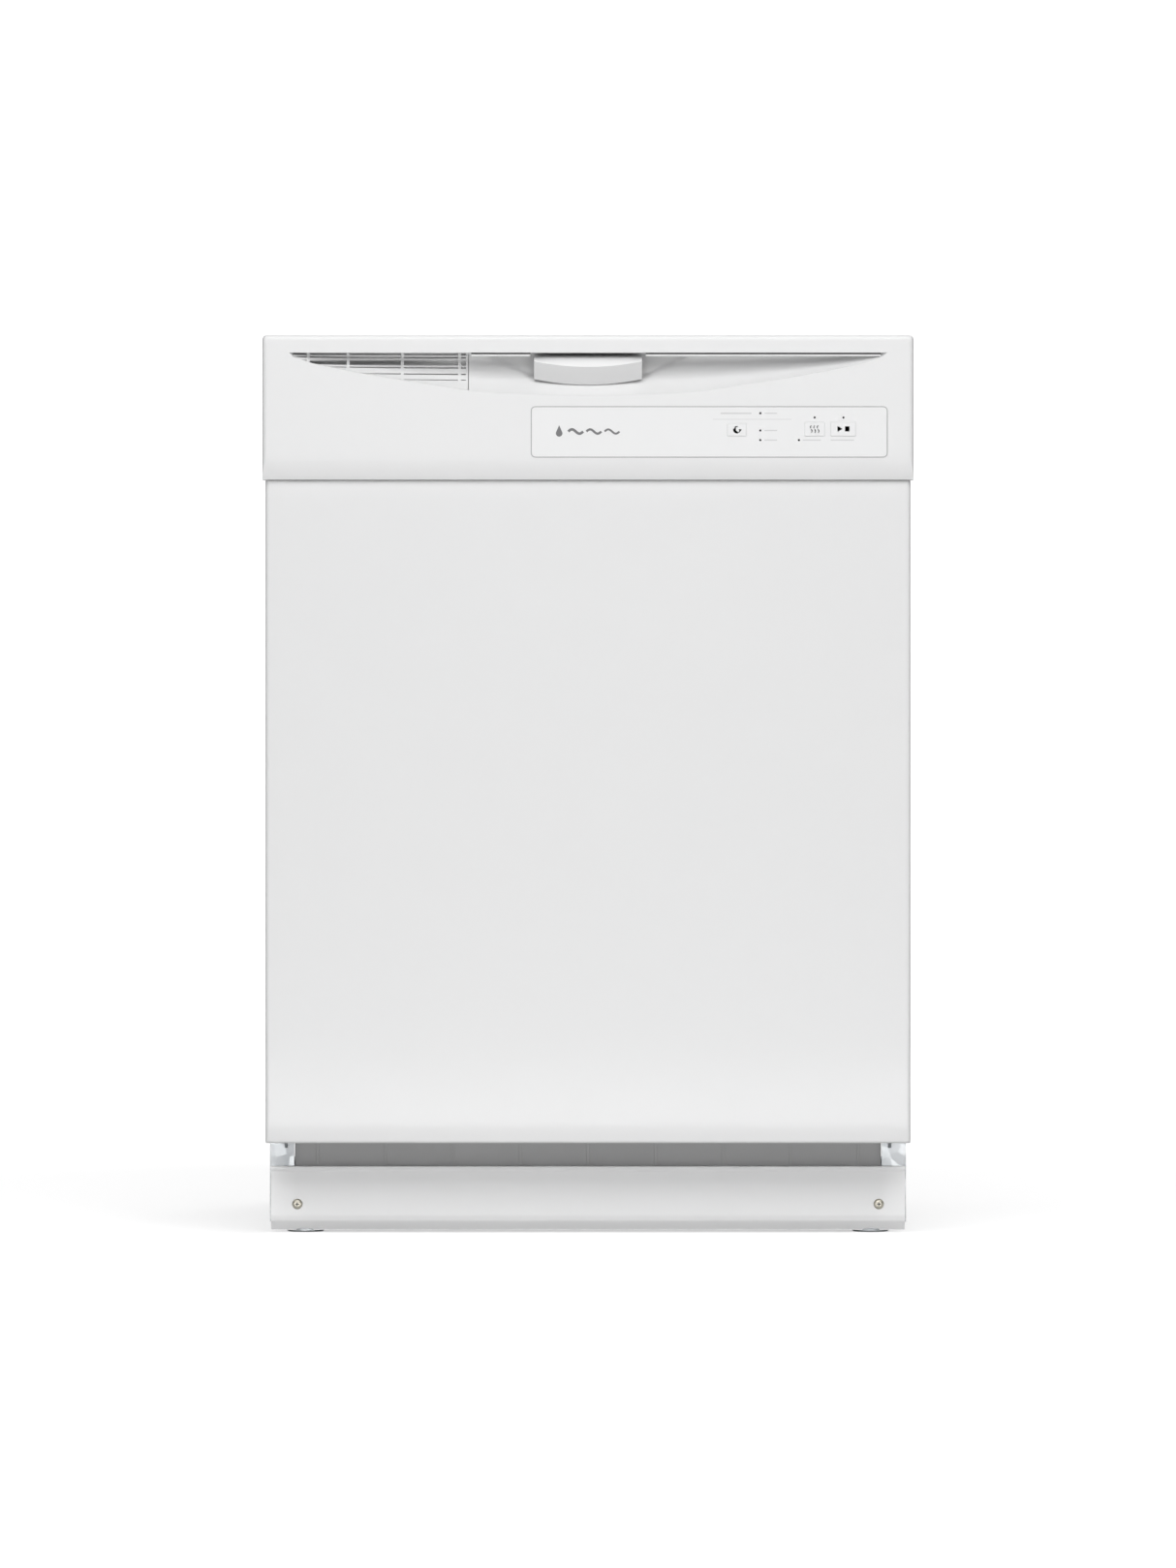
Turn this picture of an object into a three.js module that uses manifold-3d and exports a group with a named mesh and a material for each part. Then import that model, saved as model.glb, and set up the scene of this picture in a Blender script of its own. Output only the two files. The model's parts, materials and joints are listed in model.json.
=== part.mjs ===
// Built-in dishwasher. Millimetres, +Z up. The front faces -Y, X runs left to right as seen from the front.
// The origin is on the floor, at the centre of the footprint. The door is closed and the racks are in.
import * as THREE from 'three';
import { mergeVertices } from 'three/addons/utils/BufferGeometryUtils.js';
import Module from 'manifold-3d';

const wasm = await Module();
wasm.setup();

// ---- driving dimensions -------------------------------------------------------------------------
const HALF_WIDTH = 305; // console; the body below it is a little narrower
const FRONT = -317.5; // button faces, the foremost point
const BACK = 317.5; // rear end of the base rails
const TOP = 845; // top of the console
const GAP = 0.4; // running and assembly gap between neighbours

const HINGE = { y: -265.5, z: 100, pin: 4 }; // door hinge axis, along X

const DOOR = { halfWidth: 302.4, face: -307.5, low: 87.7, high: 709, sheet: 1.2, returns: -275 };
const CONSOLE = { face: -316.9, low: 709.4, wall: 3, back: -262 };
const POCKET = { top: 828.2, floor: -292, wall: 2.5, halfWidth: 280 };
const POCKET_LOWER_EDGE = [[280, 825], [254, 817.3], [202, 807], [150, 798.7], [104, 791.9], [54, 789.2]];
const POCKET_LOWEST = 787.7;
const FASCIA = { left: -53.5, right: 280.4, low: 730, high: 778, corner: 4.5, depth: 0.85 };
const BUTTONS = [
  { name: 'cycle_button', left: 130, right: 148.5, low: 749.8, high: 762.1 },
  { name: 'heat_dry_button', left: 202.3, right: 221.9, low: 749.8, high: 763.2 },
  { name: 'start_cancel_button', left: 226.8, right: 250.9, low: 749.8, high: 763.7 },
];
const LINER = { halfWidth: 298, front: -292, back: -257, low: 116, high: 838, wall: 3, web: 5 };
const DISH = { halfWidth: 263, low: 139, high: 801, floor: -281, corner: 20 };
const HANDLE = { halfWidth: 50.6 };
const HOOK = { halfWidth: 7, noseLow: 833.5, noseHigh: 836.5 };

const TUB = { halfWidth: 282, wall: 3, front: -250, back: 300, low: 118, high: 828, corner: 5 };
const FLANGE = { halfWidth: 296, front: -253, high: 838, corner: 2 };
const HOOK_NOTCH = { halfWidth: 12, low: 832.7 }; // in the flange, for the latch hook
const GASKET = { halfWidth: 292, high: 832, corner: 10 };
const BLANKET = { halfWidth: 292, low: 140, high: 837.6, front: -235, back: 298, corner: 12 };
const BRACKET = { inner: 180, outer: 215, sheet: 2, tab: 40 };
const SUMP = { x: 0, y: 20, radius: 88, low: 40, high: 123, floorRadius: 58, shoulder: 78, wall: 3, post: 14 };
const FILTER = { x: 52, y: 20, radius: 26, low: 72, high: 126 };
const FLOAT = { x: 175, y: -150, radius: 20, low: 126, shoulder: 140, high: 145, stem: 9, foot: 14 };
const RAIL_PLATE = [284, 287]; // distance of each base rail's plate from the middle plane
const KICK = { halfWidth: 300, front: -240, low: 2, high: 63.2, sheet: 1.2, screwX: 275, screwZ: 27 };
const LEG = { x: 268, front: -215, rear: 285, pad: 18, padHeight: 4, stem: 6, top: 58 };
const RAIL = { low: 10, middle: 60, front: -236, sheet: 3 }; // the base rails' side plate
const ACCESS = { halfWidth: 277.5, front: -232, sheet: 1.2, low: 30, high: 116 };
const SPRING = { x: 270, z: 40, coil: 8, wire: 2, coilY: [-160, 60], wireY: [-190, 120] };
const MOTOR = { z: 72, radius: 32, x: [-215, -92], neck: 18, neckX: [-226, -214] };
const PUMP = { z: 62, radius: 24, x: [92, 150], spigotX: 125, spigot: 9, bore: 6.5, spigotEnd: 85 };
const VALVE = { x: [-252, -212], y: [-200, -150], z: [48, 88], portX: -232, portY: -175, port: 12, bore: 8 };
const PORT_LOW = 28;
const HOSE = { z: 72, y: 309, radius: 6, bend: 32 };
const JUNCTION = { x: [200, 252], y: [-205, -150], z: [16, 70], lip: 3 };
const NOZZLE = { low: 800, high: 822, core: 12, radius: 33 };
const BLADE = { low: 143, upperLow: 439, thickness: 8, half: 26, endRadius: 16, hub: 20 };

const ARM_REACH = 213; // half the length of a spray arm
const UPPER_RACK = { halfWidth: 250, front: -205, back: 262, floor: 470, rim: 586 };
const LOWER_RACK = { halfWidth: 256, front: -215, back: 265, floor: 160, rim: 286 };
const WIRE = 4;
const WHEEL = { radius: 16, z: 137.5, front: -145.5, rear: 200, inner: 264.5, outer: 273.5, axle: 3 };
const TRACK = { low: 575, high: 600, front: -240, back: 250, roller: 10.1, rollerY: -225, guideY: -105 };
const BASKET = { left: 150, right: 245, front: -170, back: 130, low: 164.4, high: 275, wall: 2.5 };
const DISPENSER = { low: 330, high: 450, halfWidth: 80, face: -277 };
const LID = { left: -66, right: 4, low: 346, high: 434, thickness: 2.7 };

// ---- shape helpers ------------------------------------------------------------------------------
const block = ([x0, x1], [y0, y1], [z0, z1]) => {
  const geometry = new THREE.BoxGeometry(x1 - x0, y1 - y0, z1 - z0);
  return geometry.translate((x0 + x1) / 2, (y0 + y1) / 2, (z0 + z1) / 2);
};

const both = (halfWidth) => [-halfWidth, halfWidth];
const sided = (side, inner, outer) => (side > 0 ? [inner, outer] : [-outer, -inner]);

const polygon = (points) => new THREE.Shape(points.map(([u, v]) => new THREE.Vector2(u, v)));

const roundedRect = ([u0, u1], [v0, v1], radius) => {
  const shape = new THREE.Shape();
  shape.absarc(u1 - radius, v0 + radius, radius, -Math.PI / 2, 0);
  shape.absarc(u1 - radius, v1 - radius, radius, 0, Math.PI / 2);
  shape.absarc(u0 + radius, v1 - radius, radius, Math.PI / 2, Math.PI);
  shape.absarc(u0 + radius, v0 + radius, radius, Math.PI, Math.PI * 1.5);
  return shape;
};

const CYCLE = new THREE.Matrix4().makeBasis(
  new THREE.Vector3(0, 1, 0), new THREE.Vector3(0, 0, 1), new THREE.Vector3(1, 0, 0));

const extrude = (shape, depth, segments) => {
  const options = { depth, bevelEnabled: false, curveSegments: segments };
  return new THREE.ExtrudeGeometry(shape, options);
};
// A shape drawn in (y, z), swept along X.
const alongX = (shape, [x0, x1], segments = 4) => {
  return extrude(shape, x1 - x0, segments).applyMatrix4(CYCLE).translate(x0, 0, 0);
};
// A shape drawn in (x, z), swept along Y.
const alongY = (shape, [y0, y1], segments = 4) => {
  return extrude(shape, y1 - y0, segments).rotateX(Math.PI / 2).translate(0, y1, 0);
};
// A shape drawn in (x, y), swept along Z.
const alongZ = (shape, [z0, z1], segments = 4) => extrude(shape, z1 - z0, segments).translate(0, 0, z0);

// Round bars along X, Y or Z; the centre is given by its two other coordinates.
const barX = (y, z, radius, [x0, x1], sides = 20) => {
  const geometry = new THREE.CylinderGeometry(radius, radius, x1 - x0, sides);
  return geometry.rotateZ(Math.PI / 2).translate((x0 + x1) / 2, y, z);
};
const barY = (x, z, radius, [y0, y1], sides = 20) => {
  const geometry = new THREE.CylinderGeometry(radius, radius, y1 - y0, sides);
  return geometry.translate(x, (y0 + y1) / 2, z);
};
const barZ = (x, y, radius, [z0, z1], sides = 20) => {
  const geometry = new THREE.CylinderGeometry(radius, radius, z1 - z0, sides);
  return geometry.rotateX(Math.PI / 2).translate(x, y, (z0 + z1) / 2);
};

// A profile of [radius, height] points turned about a vertical axis.
const turned = (x, y, profile, segments = 32) => {
  const points = profile.map(([radius, height]) => new THREE.Vector2(radius, height));
  return new THREE.LatheGeometry(points, segments).rotateX(Math.PI / 2).translate(x, y, 0);
};

// A path of straight runs with rounded corners.
const pipeRun = (points, bend) => {
  const run = new THREE.CurvePath();
  const corners = points.map((p) => new THREE.Vector3(...p));
  let from = corners[0];
  for (let i = 1; i < corners.length - 1; i += 1) {
    const entry = corners[i].clone().add(corners[i - 1].clone().sub(corners[i]).setLength(bend));
    const exit = corners[i].clone().add(corners[i + 1].clone().sub(corners[i]).setLength(bend));
    run.add(new THREE.LineCurve3(from, entry));
    run.add(new THREE.QuadraticBezierCurve3(entry, corners[i], exit));
    from = exit;
  }
  run.add(new THREE.LineCurve3(from, corners[corners.length - 1]));
  return run;
};
const tube = (path, radius, steps, sides) => {
  const section = new THREE.Shape();
  section.absarc(0, 0, radius, 0, Math.PI * 2);
  const options = { extrudePath: path, steps, curveSegments: sides, bevelEnabled: false };
  return new THREE.ExtrudeGeometry(section, options);
};

// ---- joining and cutting ------------------------------------------------------------------------
const solid = (geometry) => {
  const bare = geometry.clone();
  bare.deleteAttribute('normal');
  bare.deleteAttribute('uv');
  const merged = mergeVertices(bare, 1e-4);
  const vertProperties = new Float32Array(merged.attributes.position.array);
  const triVerts = new Uint32Array(merged.index.array);
  return new wasm.Manifold(new wasm.Mesh({ numProp: 3, vertProperties, triVerts }));
};
const geometryOf = (body) => {
  const mesh = body.getMesh();
  const geometry = new THREE.BufferGeometry();
  geometry.setAttribute('position', new THREE.BufferAttribute(mesh.vertProperties, 3));
  geometry.setIndex(new THREE.BufferAttribute(mesh.triVerts, 1));
  geometry.computeVertexNormals();
  return geometry;
};
const join = (...parts) => geometryOf(parts.map(solid).reduce((all, part) => all.add(part)));
const cut = (base, ...tools) => {
  return geometryOf(tools.map(solid).reduce((left, tool) => left.subtract(tool), solid(base)));
};
const common = (a, b) => geometryOf(solid(a).intersect(solid(b)));

// ---- materials ----------------------------------------------------------------------------------
const finish = (color, roughness, metalness) => ({ color, roughness, metalness });
const WHITE_PAINT = finish(0xeeeeee, 0.35, 0);
const WHITE_PLASTIC = finish(0xebebeb, 0.4, 0);
const OVERLAY_WHITE = finish(0xf2f2f2, 0.3, 0);
const TUB_GREY = finish(0xb9bcbd, 0.45, 0);
const RACK_GREY = finish(0x8f979d, 0.5, 0);
const GALVANISED = finish(0xa5a9ab, 0.45, 0.9);
const STAINLESS = finish(0xc9cbcc, 0.3, 1);
const BLACK_RUBBER = finish(0x222223, 0.8, 0);
const BLACK_PLASTIC = finish(0x1c1c1d, 0.5, 0);
const DARK_PANEL = finish(0x3a3b3c, 0.6, 0);
const MASTIC = finish(0x4a4744, 0.95, 0);

const dishwasher = new THREE.Group();
const add = (name, geometry, material) => {
  const mesh = new THREE.Mesh(geometry, new THREE.MeshStandardMaterial(material));
  mesh.name = name;
  dishwasher.add(mesh);
};

// ---- tub: an open-fronted box with a flange, the gasket on it and its fittings --------------------
const FLOOR = TUB.low + TUB.wall;
const CEILING = TUB.high - TUB.wall;
const INNER_HALF = TUB.halfWidth - TUB.wall;
const TRACK_Z = (TRACK.low + TRACK.high) / 2;
const FEED = { y: 285, radius: 8, low: 104, high: 812 };
const ELEMENT = { halfWidth: 215, front: -195, back: 230, z: 131, radius: 4, endX: 25 };
const ELBOW = { x: -235, low: 240.3, high: 262 };

const makeTub = () => {
  const outline = roundedRect(both(TUB.halfWidth), [TUB.low, TUB.high], TUB.corner);
  const flangeOutline = roundedRect(both(FLANGE.halfWidth), [TUB.low, FLANGE.high], FLANGE.corner);
  const shell = alongY(outline, [TUB.front, TUB.back]);
  const flange = alongY(flangeOutline, [FLANGE.front, TUB.front + 1]);
  const inside = roundedRect(both(INNER_HALF), [FLOOR, CEILING], TUB.corner);
  const elbow = block([ELBOW.x - 15, ELBOW.x + 15], [TUB.back - 1, BACK - 1.5], [ELBOW.low, ELBOW.high]);
  const hollow = cut(
    join(shell, flange, elbow),
    alongY(inside, [FLANGE.front - 5, TUB.back - TUB.wall]),
    barZ(SUMP.x, SUMP.y, SUMP.radius + 1, [TUB.low - 5, FLOOR + 5], 48),
    barZ(0, FEED.y, FEED.radius + 0.6, [TUB.low - 5, FLOOR + 5]),
    barZ(ELEMENT.endX, ELEMENT.front, ELEMENT.radius + 1, [TUB.low - 5, FLOOR + 5]),
    barZ(-ELEMENT.endX, ELEMENT.front, ELEMENT.radius + 1, [TUB.low - 5, FLOOR + 5]),
    block(both(HOOK_NOTCH.halfWidth), [FLANGE.front - 1, TUB.front + 2], [HOOK_NOTCH.low, FLANGE.high + 1]),
  );
  const axles = [-1, 1].flatMap((side) => [
    barX(TRACK.rollerY, TRACK_Z, 3, sided(side, 271, INNER_HALF + 1)),
    barX(TRACK.guideY, TRACK_Z, TRACK.roller, sided(side, 270.6, INNER_HALF + 1)),
  ]);
  return join(hollow, ...axles);
};
add('tub', makeTub(), TUB_GREY);

const gasketInside = roundedRect(both(INNER_HALF + 1), [FLOOR + 1, CEILING + 1], 6);
const gasketOutline = roundedRect(both(GASKET.halfWidth), [TUB.low + GAP, GASKET.high], GASKET.corner);
add('tub_gasket', cut(
  alongY(gasketOutline, [LINER.back + 0.3, FLANGE.front - 0.3]),
  alongY(gasketInside, [LINER.back - 1, FLANGE.front + 1]),
), BLACK_RUBBER);

const blanketOutline = roundedRect(both(BLANKET.halfWidth), [BLANKET.low, BLANKET.high], BLANKET.corner);
const blanket = alongY(blanketOutline, [BLANKET.front, BLANKET.back]);
const blanketInside = block(
  both(TUB.halfWidth + GAP), [BLANKET.front - 5, BLANKET.back + 12], [BLANKET.low - 10, TUB.high + GAP]);
add('insulation_blanket', cut(blanket, blanketInside), MASTIC);

for (const [side, name] of [[-1, 'left_counter_bracket'], [1, 'right_counter_bracket']]) {
  const across = sided(side, BRACKET.inner, BRACKET.outer);
  const behindFlange = TUB.front + 1 + GAP;
  const top = TOP - 0.5;
  const upright = block(across, [behindFlange, behindFlange + BRACKET.sheet], [TUB.high + GAP, top]);
  const tab = block(across, [behindFlange, behindFlange + BRACKET.tab], [top - BRACKET.sheet, top]);
  add(name, join(upright, tab), GALVANISED);
}

// ---- base: rails, crossmember, panels and legs ----------------------------------------------------
const railProfile = () => {
  const shape = new THREE.Shape();
  const earTop = TUB.low - 1;
  shape.moveTo(RAIL.front, RAIL.low);
  shape.lineTo(BACK, RAIL.low);
  shape.lineTo(BACK, RAIL.middle);
  shape.lineTo(295, RAIL.middle);
  shape.lineTo(285, earTop);
  shape.lineTo(235, earTop);
  shape.lineTo(205, RAIL.middle);
  shape.lineTo(-110, RAIL.middle);
  shape.lineTo(-150, earTop);
  shape.lineTo(-250, earTop);
  shape.absarc(HINGE.y, HINGE.z, 9, Math.PI / 2, Math.PI * 1.5);
  shape.lineTo(-250, HINGE.z - 9);
  shape.lineTo(RAIL.front, HINGE.z - 20);
  return shape;
};
for (const [side, name] of [[-1, 'left_base_rail'], [1, 'right_base_rail']]) {
  const plate = alongX(railProfile(), sided(side, ...RAIL_PLATE), 8);
  const front = [RAIL.front, RAIL.front + 2];
  const foot = block(sided(side, 250, RAIL_PLATE[1]), [RAIL.front, BACK], [RAIL.low, RAIL.low + RAIL.sheet]);
  const screwFlange = block(sided(side, 262, 301), front, [RAIL.low, RAIL.middle]);
  const sideFlange = block(sided(side, 278, 301), front, [RAIL.middle - 1, 88]);
  add(name, cut(
    join(plate, foot, screwFlange, sideFlange),
    barX(HINGE.y, HINGE.z, HINGE.pin + 0.3, sided(side, 280, 290)),
    barZ(side * LEG.x, LEG.front, LEG.stem + GAP, [5, 20]),
    barZ(side * LEG.x, LEG.rear, LEG.stem + GAP, [5, 20]),
    barY(side * KICK.screwX, KICK.screwZ, 2.6, [-240, -230], 12),
  ), GALVANISED);
}

const crossHalf = RAIL_PLATE[0] - GAP;
add('rear_crossmember', join(
  block(both(crossHalf), [300, 316], [13.4, 15.4]),
  block(both(crossHalf), [300, 302], [13.4, 50]),
), GALVANISED);

add('access_panel', block(
  both(ACCESS.halfWidth), [ACCESS.front, ACCESS.front + ACCESS.sheet], [ACCESS.low, ACCESS.high],
), DARK_PANEL);

const kickProfile = () => {
  const back = KICK.front + KICK.sheet;
  return polygon([
    [KICK.front, 9], [KICK.front + 1.5, 4.5], [KICK.front + 5.5, KICK.low], [KICK.front + 6.5, KICK.low],
    [KICK.front + 6.5, KICK.low + KICK.sheet], [KICK.front + 2.4, 5.4], [back, 9.4],
    [back, KICK.high], [KICK.front - 1, KICK.high], [KICK.front - 2, KICK.high - 1],
    [KICK.front - 2, KICK.high - 3.2], [KICK.front, KICK.high - 4.4],
  ].reverse());
};
add('kick_plate', cut(
  alongX(kickProfile(), both(KICK.halfWidth)),
  barY(-KICK.screwX, KICK.screwZ, 2.6, [-245, -230], 12),
  barY(KICK.screwX, KICK.screwZ, 2.6, [-245, -230], 12),
), WHITE_PAINT);

for (const [side, name] of [[-1, 'left_kick_screw'], [1, 'right_kick_screw']]) {
  const x = side * KICK.screwX;
  const head = barY(x, KICK.screwZ, 5, [KICK.front - 2.6, KICK.front - 0.3]);
  const shank = barY(x, KICK.screwZ, 2.2, [KICK.front - 1, -229], 12);
  add(name, join(head, shank), STAINLESS);
}

const LEGS = [['front_left', -1, LEG.front], ['front_right', 1, LEG.front],
  ['rear_left', -1, LEG.rear], ['rear_right', 1, LEG.rear]];
for (const [place, side, y] of LEGS) {
  const profile = [[0, 0], [LEG.pad, 0], [LEG.pad, LEG.padHeight], [LEG.stem, LEG.padHeight + 3],
    [LEG.stem, LEG.top], [0, LEG.top]];
  add(`leveling_leg_${place}`, turned(side * LEG.x, y, profile, 16), GALVANISED);
}

for (const [side, name] of [[-1, 'left_door_spring'], [1, 'right_door_spring']]) {
  const coil = barY(side * SPRING.x, SPRING.z, SPRING.coil, SPRING.coilY, 14);
  const hook = barY(side * SPRING.x, SPRING.z, SPRING.wire, SPRING.wireY, 8);
  add(name, join(coil, hook), STAINLESS);
}

// ---- wash system under and in the tub -------------------------------------------------------------
const POST_TOP = 138;
const sumpInner = SUMP.radius - SUMP.wall;
add('sump', join(
  turned(SUMP.x, SUMP.y, [[0, SUMP.low], [SUMP.floorRadius, SUMP.low], [SUMP.radius, SUMP.shoulder],
    [SUMP.radius, SUMP.high], [sumpInner, SUMP.high], [sumpInner, SUMP.shoulder + 1.5],
    [SUMP.floorRadius - 1.5, SUMP.low + SUMP.wall], [0, SUMP.low + SUMP.wall]], 32),
  barZ(SUMP.x, SUMP.y, SUMP.post, [SUMP.low + 2, POST_TOP], 16),
), BLACK_PLASTIC);

const cupProfile = [[0, FILTER.low], [FILTER.radius, FILTER.low], [FILTER.radius, FILTER.high],
  [FILTER.radius - 2.5, FILTER.high], [FILTER.radius - 2.5, FILTER.low + 2.5], [0, FILTER.low + 2.5]];
const cupReach = FILTER.radius - 1;
add('filter_cup', join(
  turned(FILTER.x, FILTER.y, cupProfile, 28),
  block([FILTER.x - cupReach, FILTER.x + cupReach], [FILTER.y - 2, FILTER.y + 2], [116, 132]),
), RACK_GREY);

add('circulation_motor', join(
  barX(SUMP.y, MOTOR.z, MOTOR.radius, MOTOR.x, 28),
  barX(SUMP.y, MOTOR.z, MOTOR.neck, MOTOR.neckX),
), GALVANISED);

add('drain_pump', cut(
  join(
    barX(SUMP.y, PUMP.z, PUMP.radius, PUMP.x, 24),
    barY(PUMP.spigotX, PUMP.z, PUMP.spigot, [SUMP.y, PUMP.spigotEnd]),
  ),
  barY(PUMP.spigotX, PUMP.z, PUMP.bore, [PUMP.spigotEnd - 30, PUMP.spigotEnd + 5], 16),
), BLACK_PLASTIC);

add('inlet_valve', cut(
  join(
    block(VALVE.x, VALVE.y, VALVE.z),
    barZ(VALVE.portX, VALVE.portY, VALVE.port, [PORT_LOW, VALVE.z[0] + 1]),
  ),
  barZ(VALVE.portX, VALVE.portY, VALVE.bore, [PORT_LOW - 1, PORT_LOW + 12], 16),
), WHITE_PLASTIC);

const hoseRun = pipeRun([
  [ELBOW.x, VALVE.y[1] + GAP, HOSE.z],
  [ELBOW.x, HOSE.y, HOSE.z],
  [ELBOW.x, HOSE.y, ELBOW.low - GAP],
], HOSE.bend);
add('fill_hose', tube(hoseRun, HOSE.radius, 36, 4), BLACK_RUBBER);

add('junction_box', join(
  block(JUNCTION.x, JUNCTION.y, JUNCTION.z),
  block(
    [JUNCTION.x[0] - JUNCTION.lip, JUNCTION.x[1] + JUNCTION.lip],
    [JUNCTION.y[0] - 2, JUNCTION.y[0] + 0.5],
    [JUNCTION.z[0] - 2, JUNCTION.z[1] + 2],
  ),
), GALVANISED);

const elementRun = pipeRun([
  [-ELEMENT.endX, ELEMENT.front, 108], [-ELEMENT.endX, ELEMENT.front, ELEMENT.z],
  [-ELEMENT.halfWidth, ELEMENT.front, ELEMENT.z], [-ELEMENT.halfWidth, ELEMENT.back, ELEMENT.z],
  [ELEMENT.halfWidth, ELEMENT.back, ELEMENT.z], [ELEMENT.halfWidth, ELEMENT.front, ELEMENT.z],
  [ELEMENT.endX, ELEMENT.front, ELEMENT.z], [ELEMENT.endX, ELEMENT.front, 108],
], 9);
add('heating_element', tube(elementRun, ELEMENT.radius, 100, 3), STAINLESS);

const guideProfile = [
  [0, FLOOR + GAP], [FLOAT.foot, FLOOR + GAP], [FLOAT.foot, FLOOR + 2.4], [FLOAT.stem, FLOOR + 2.4],
  [FLOAT.stem, FLOAT.shoulder], [0, FLOAT.shoulder],
];
add('float_guide', turned(FLOAT.x, FLOAT.y, guideProfile, 20), WHITE_PLASTIC);
const domeInner = FLOAT.radius - 4;
const domeProfile = [
  [domeInner, FLOAT.low], [FLOAT.radius, FLOAT.low], [FLOAT.radius, FLOAT.shoulder],
  [FLOAT.radius - 5, FLOAT.high], [0, FLOAT.high], [0, FLOAT.high - 3], [domeInner, FLOAT.high - 3],
  [domeInner, FLOAT.low],
];
add('float_dome', turned(FLOAT.x, FLOAT.y, domeProfile, 24), WHITE_PLASTIC);

const feedRun = pipeRun([
  [0, SUMP.y + SUMP.radius + GAP, FEED.low], [0, FEED.y, FEED.low], [0, FEED.y, FEED.high],
  [0, SUMP.y + NOZZLE.radius + GAP, FEED.high],
], 14);
add('spray_feed_tube', tube(feedRun, FEED.radius, 54, 4), RACK_GREY);
const nozzleProfile = [
  [0, NOZZLE.low], [NOZZLE.core, NOZZLE.low], [NOZZLE.radius - 3, NOZZLE.low + 4],
  [NOZZLE.radius, NOZZLE.low + 8], [NOZZLE.radius, NOZZLE.high - 2], [0, NOZZLE.high],
];
add('top_spray_nozzle', turned(SUMP.x, SUMP.y, nozzleProfile, 28), RACK_GREY);

// A spray arm: a flat blade with round ends on a hub.
const sprayArm = (z, hubLow, hubHigh) => {
  const blade = new THREE.Shape();
  const end = ARM_REACH - BLADE.endRadius;
  blade.absarc(end, 0, BLADE.endRadius, -Math.PI / 2, Math.PI / 2);
  blade.lineTo(0, BLADE.half);
  blade.absarc(-end, 0, BLADE.endRadius, Math.PI / 2, Math.PI * 1.5);
  blade.lineTo(0, -BLADE.half);
  return join(
    alongZ(blade, [z, z + BLADE.thickness], 8).translate(SUMP.x, SUMP.y, 0),
    barZ(SUMP.x, SUMP.y, BLADE.hub, [hubLow, hubHigh], 24),
  );
};
add('lower_spray_arm', sprayArm(BLADE.low, POST_TOP + 0.5, BLADE.low + 10), RACK_GREY);

// ---- racks ----------------------------------------------------------------------------------------
// A rack's wire lattice: floor bars both ways, uprights at their ends, and a thicker ring at floor and rim.
// Crossing bars differ a little in thickness, so that no two of them share a face.
const rackBars = ({ halfWidth, front, back, floor, rim }, countX, countY) => {
  const bars = [];
  const place = (low, high, count, i) => Math.round(low + ((high - low - WIRE) * i) / (count - 1));
  const thin = (start, trim) => [start + trim, start + WIRE - trim];
  const ring = (z) => {
    const height = [z, z + WIRE];
    const whole = block(both(halfWidth), [front, back], height);
    const inside = block(both(halfWidth - WIRE), [front + WIRE, back - WIRE], [z - 1, z + WIRE + 5]);
    bars.push(cut(whole, inside));
  };
  [floor, rim].forEach(ring);
  const rise = [floor + 1, rim + 1];
  for (let i = 1; i < countX - 1; i += 1) {
    const x = place(-halfWidth, halfWidth, countX, i);
    bars.push(block(thin(x, 0.4), [front + 1, back - 1], thin(floor, 0.5)));
    bars.push(block(thin(x, 0.7), thin(front, 0.6), rise));
    bars.push(block(thin(x, 0.7), thin(back - WIRE, 0.6), rise));
  }
  for (let i = 1; i < countY - 1; i += 1) {
    const y = place(front, back, countY, i);
    bars.push(block(both(halfWidth - 1), thin(y, 0.3), thin(floor, 0.9)));
    bars.push(block(thin(-halfWidth, 0.6), thin(y, 0.7), rise));
    bars.push(block(thin(halfWidth - WIRE, 0.6), thin(y, 0.7), rise));
  }
  for (const x of [-halfWidth, halfWidth - WIRE]) {
    bars.push(block(thin(x, 0.6), thin(front, 0.7), rise));
    bars.push(block(thin(x, 0.6), thin(back - WIRE, 0.7), rise));
  }
  return bars;
};

const shoes = [-1, 1].flatMap((side) => [75, 225].map((y) => {
  return barX(y, TRACK_Z, TRACK.roller, sided(side, UPPER_RACK.halfWidth - 2, 267.6));
}));
add('upper_rack', join(...rackBars(UPPER_RACK, 7, 7), ...shoes), RACK_GREY);
add('upper_arm_feed', join(
  block([-12, 12], [SUMP.y, UPPER_RACK.back + 6], [456, UPPER_RACK.floor - GAP]),
  barZ(SUMP.x, SUMP.y, 16, [452, UPPER_RACK.floor - GAP]),
), RACK_GREY);
add('upper_spray_arm', sprayArm(BLADE.upperLow, BLADE.upperLow - 3, BLADE.upperLow + 12.6), RACK_GREY);

for (const [side, name] of [[-1, 'left_rack_rail'], [1, 'right_rack_rail']]) {
  const run = [TRACK.front, TRACK.back];
  add(name, join(
    block(sided(side, 268, 270), run, [TRACK.low, TRACK.high]),
    block(sided(side, 262, 276), run, [TRACK.low, TRACK.low + 2]),
    block(sided(side, 262, 276), run, [TRACK.high - 2, TRACK.high]),
  ), STAINLESS);
}
for (const [side, name] of [[-1, 'left_rail_roller'], [1, 'right_rail_roller']]) {
  const width = sided(side, 270.6, 276.4);
  add(name, cut(
    barX(TRACK.rollerY, TRACK_Z, TRACK.roller, width, 24),
    barX(TRACK.rollerY, TRACK_Z, 3.3, sided(side, 270, 277)),
  ), WHITE_PLASTIC);
}

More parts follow.
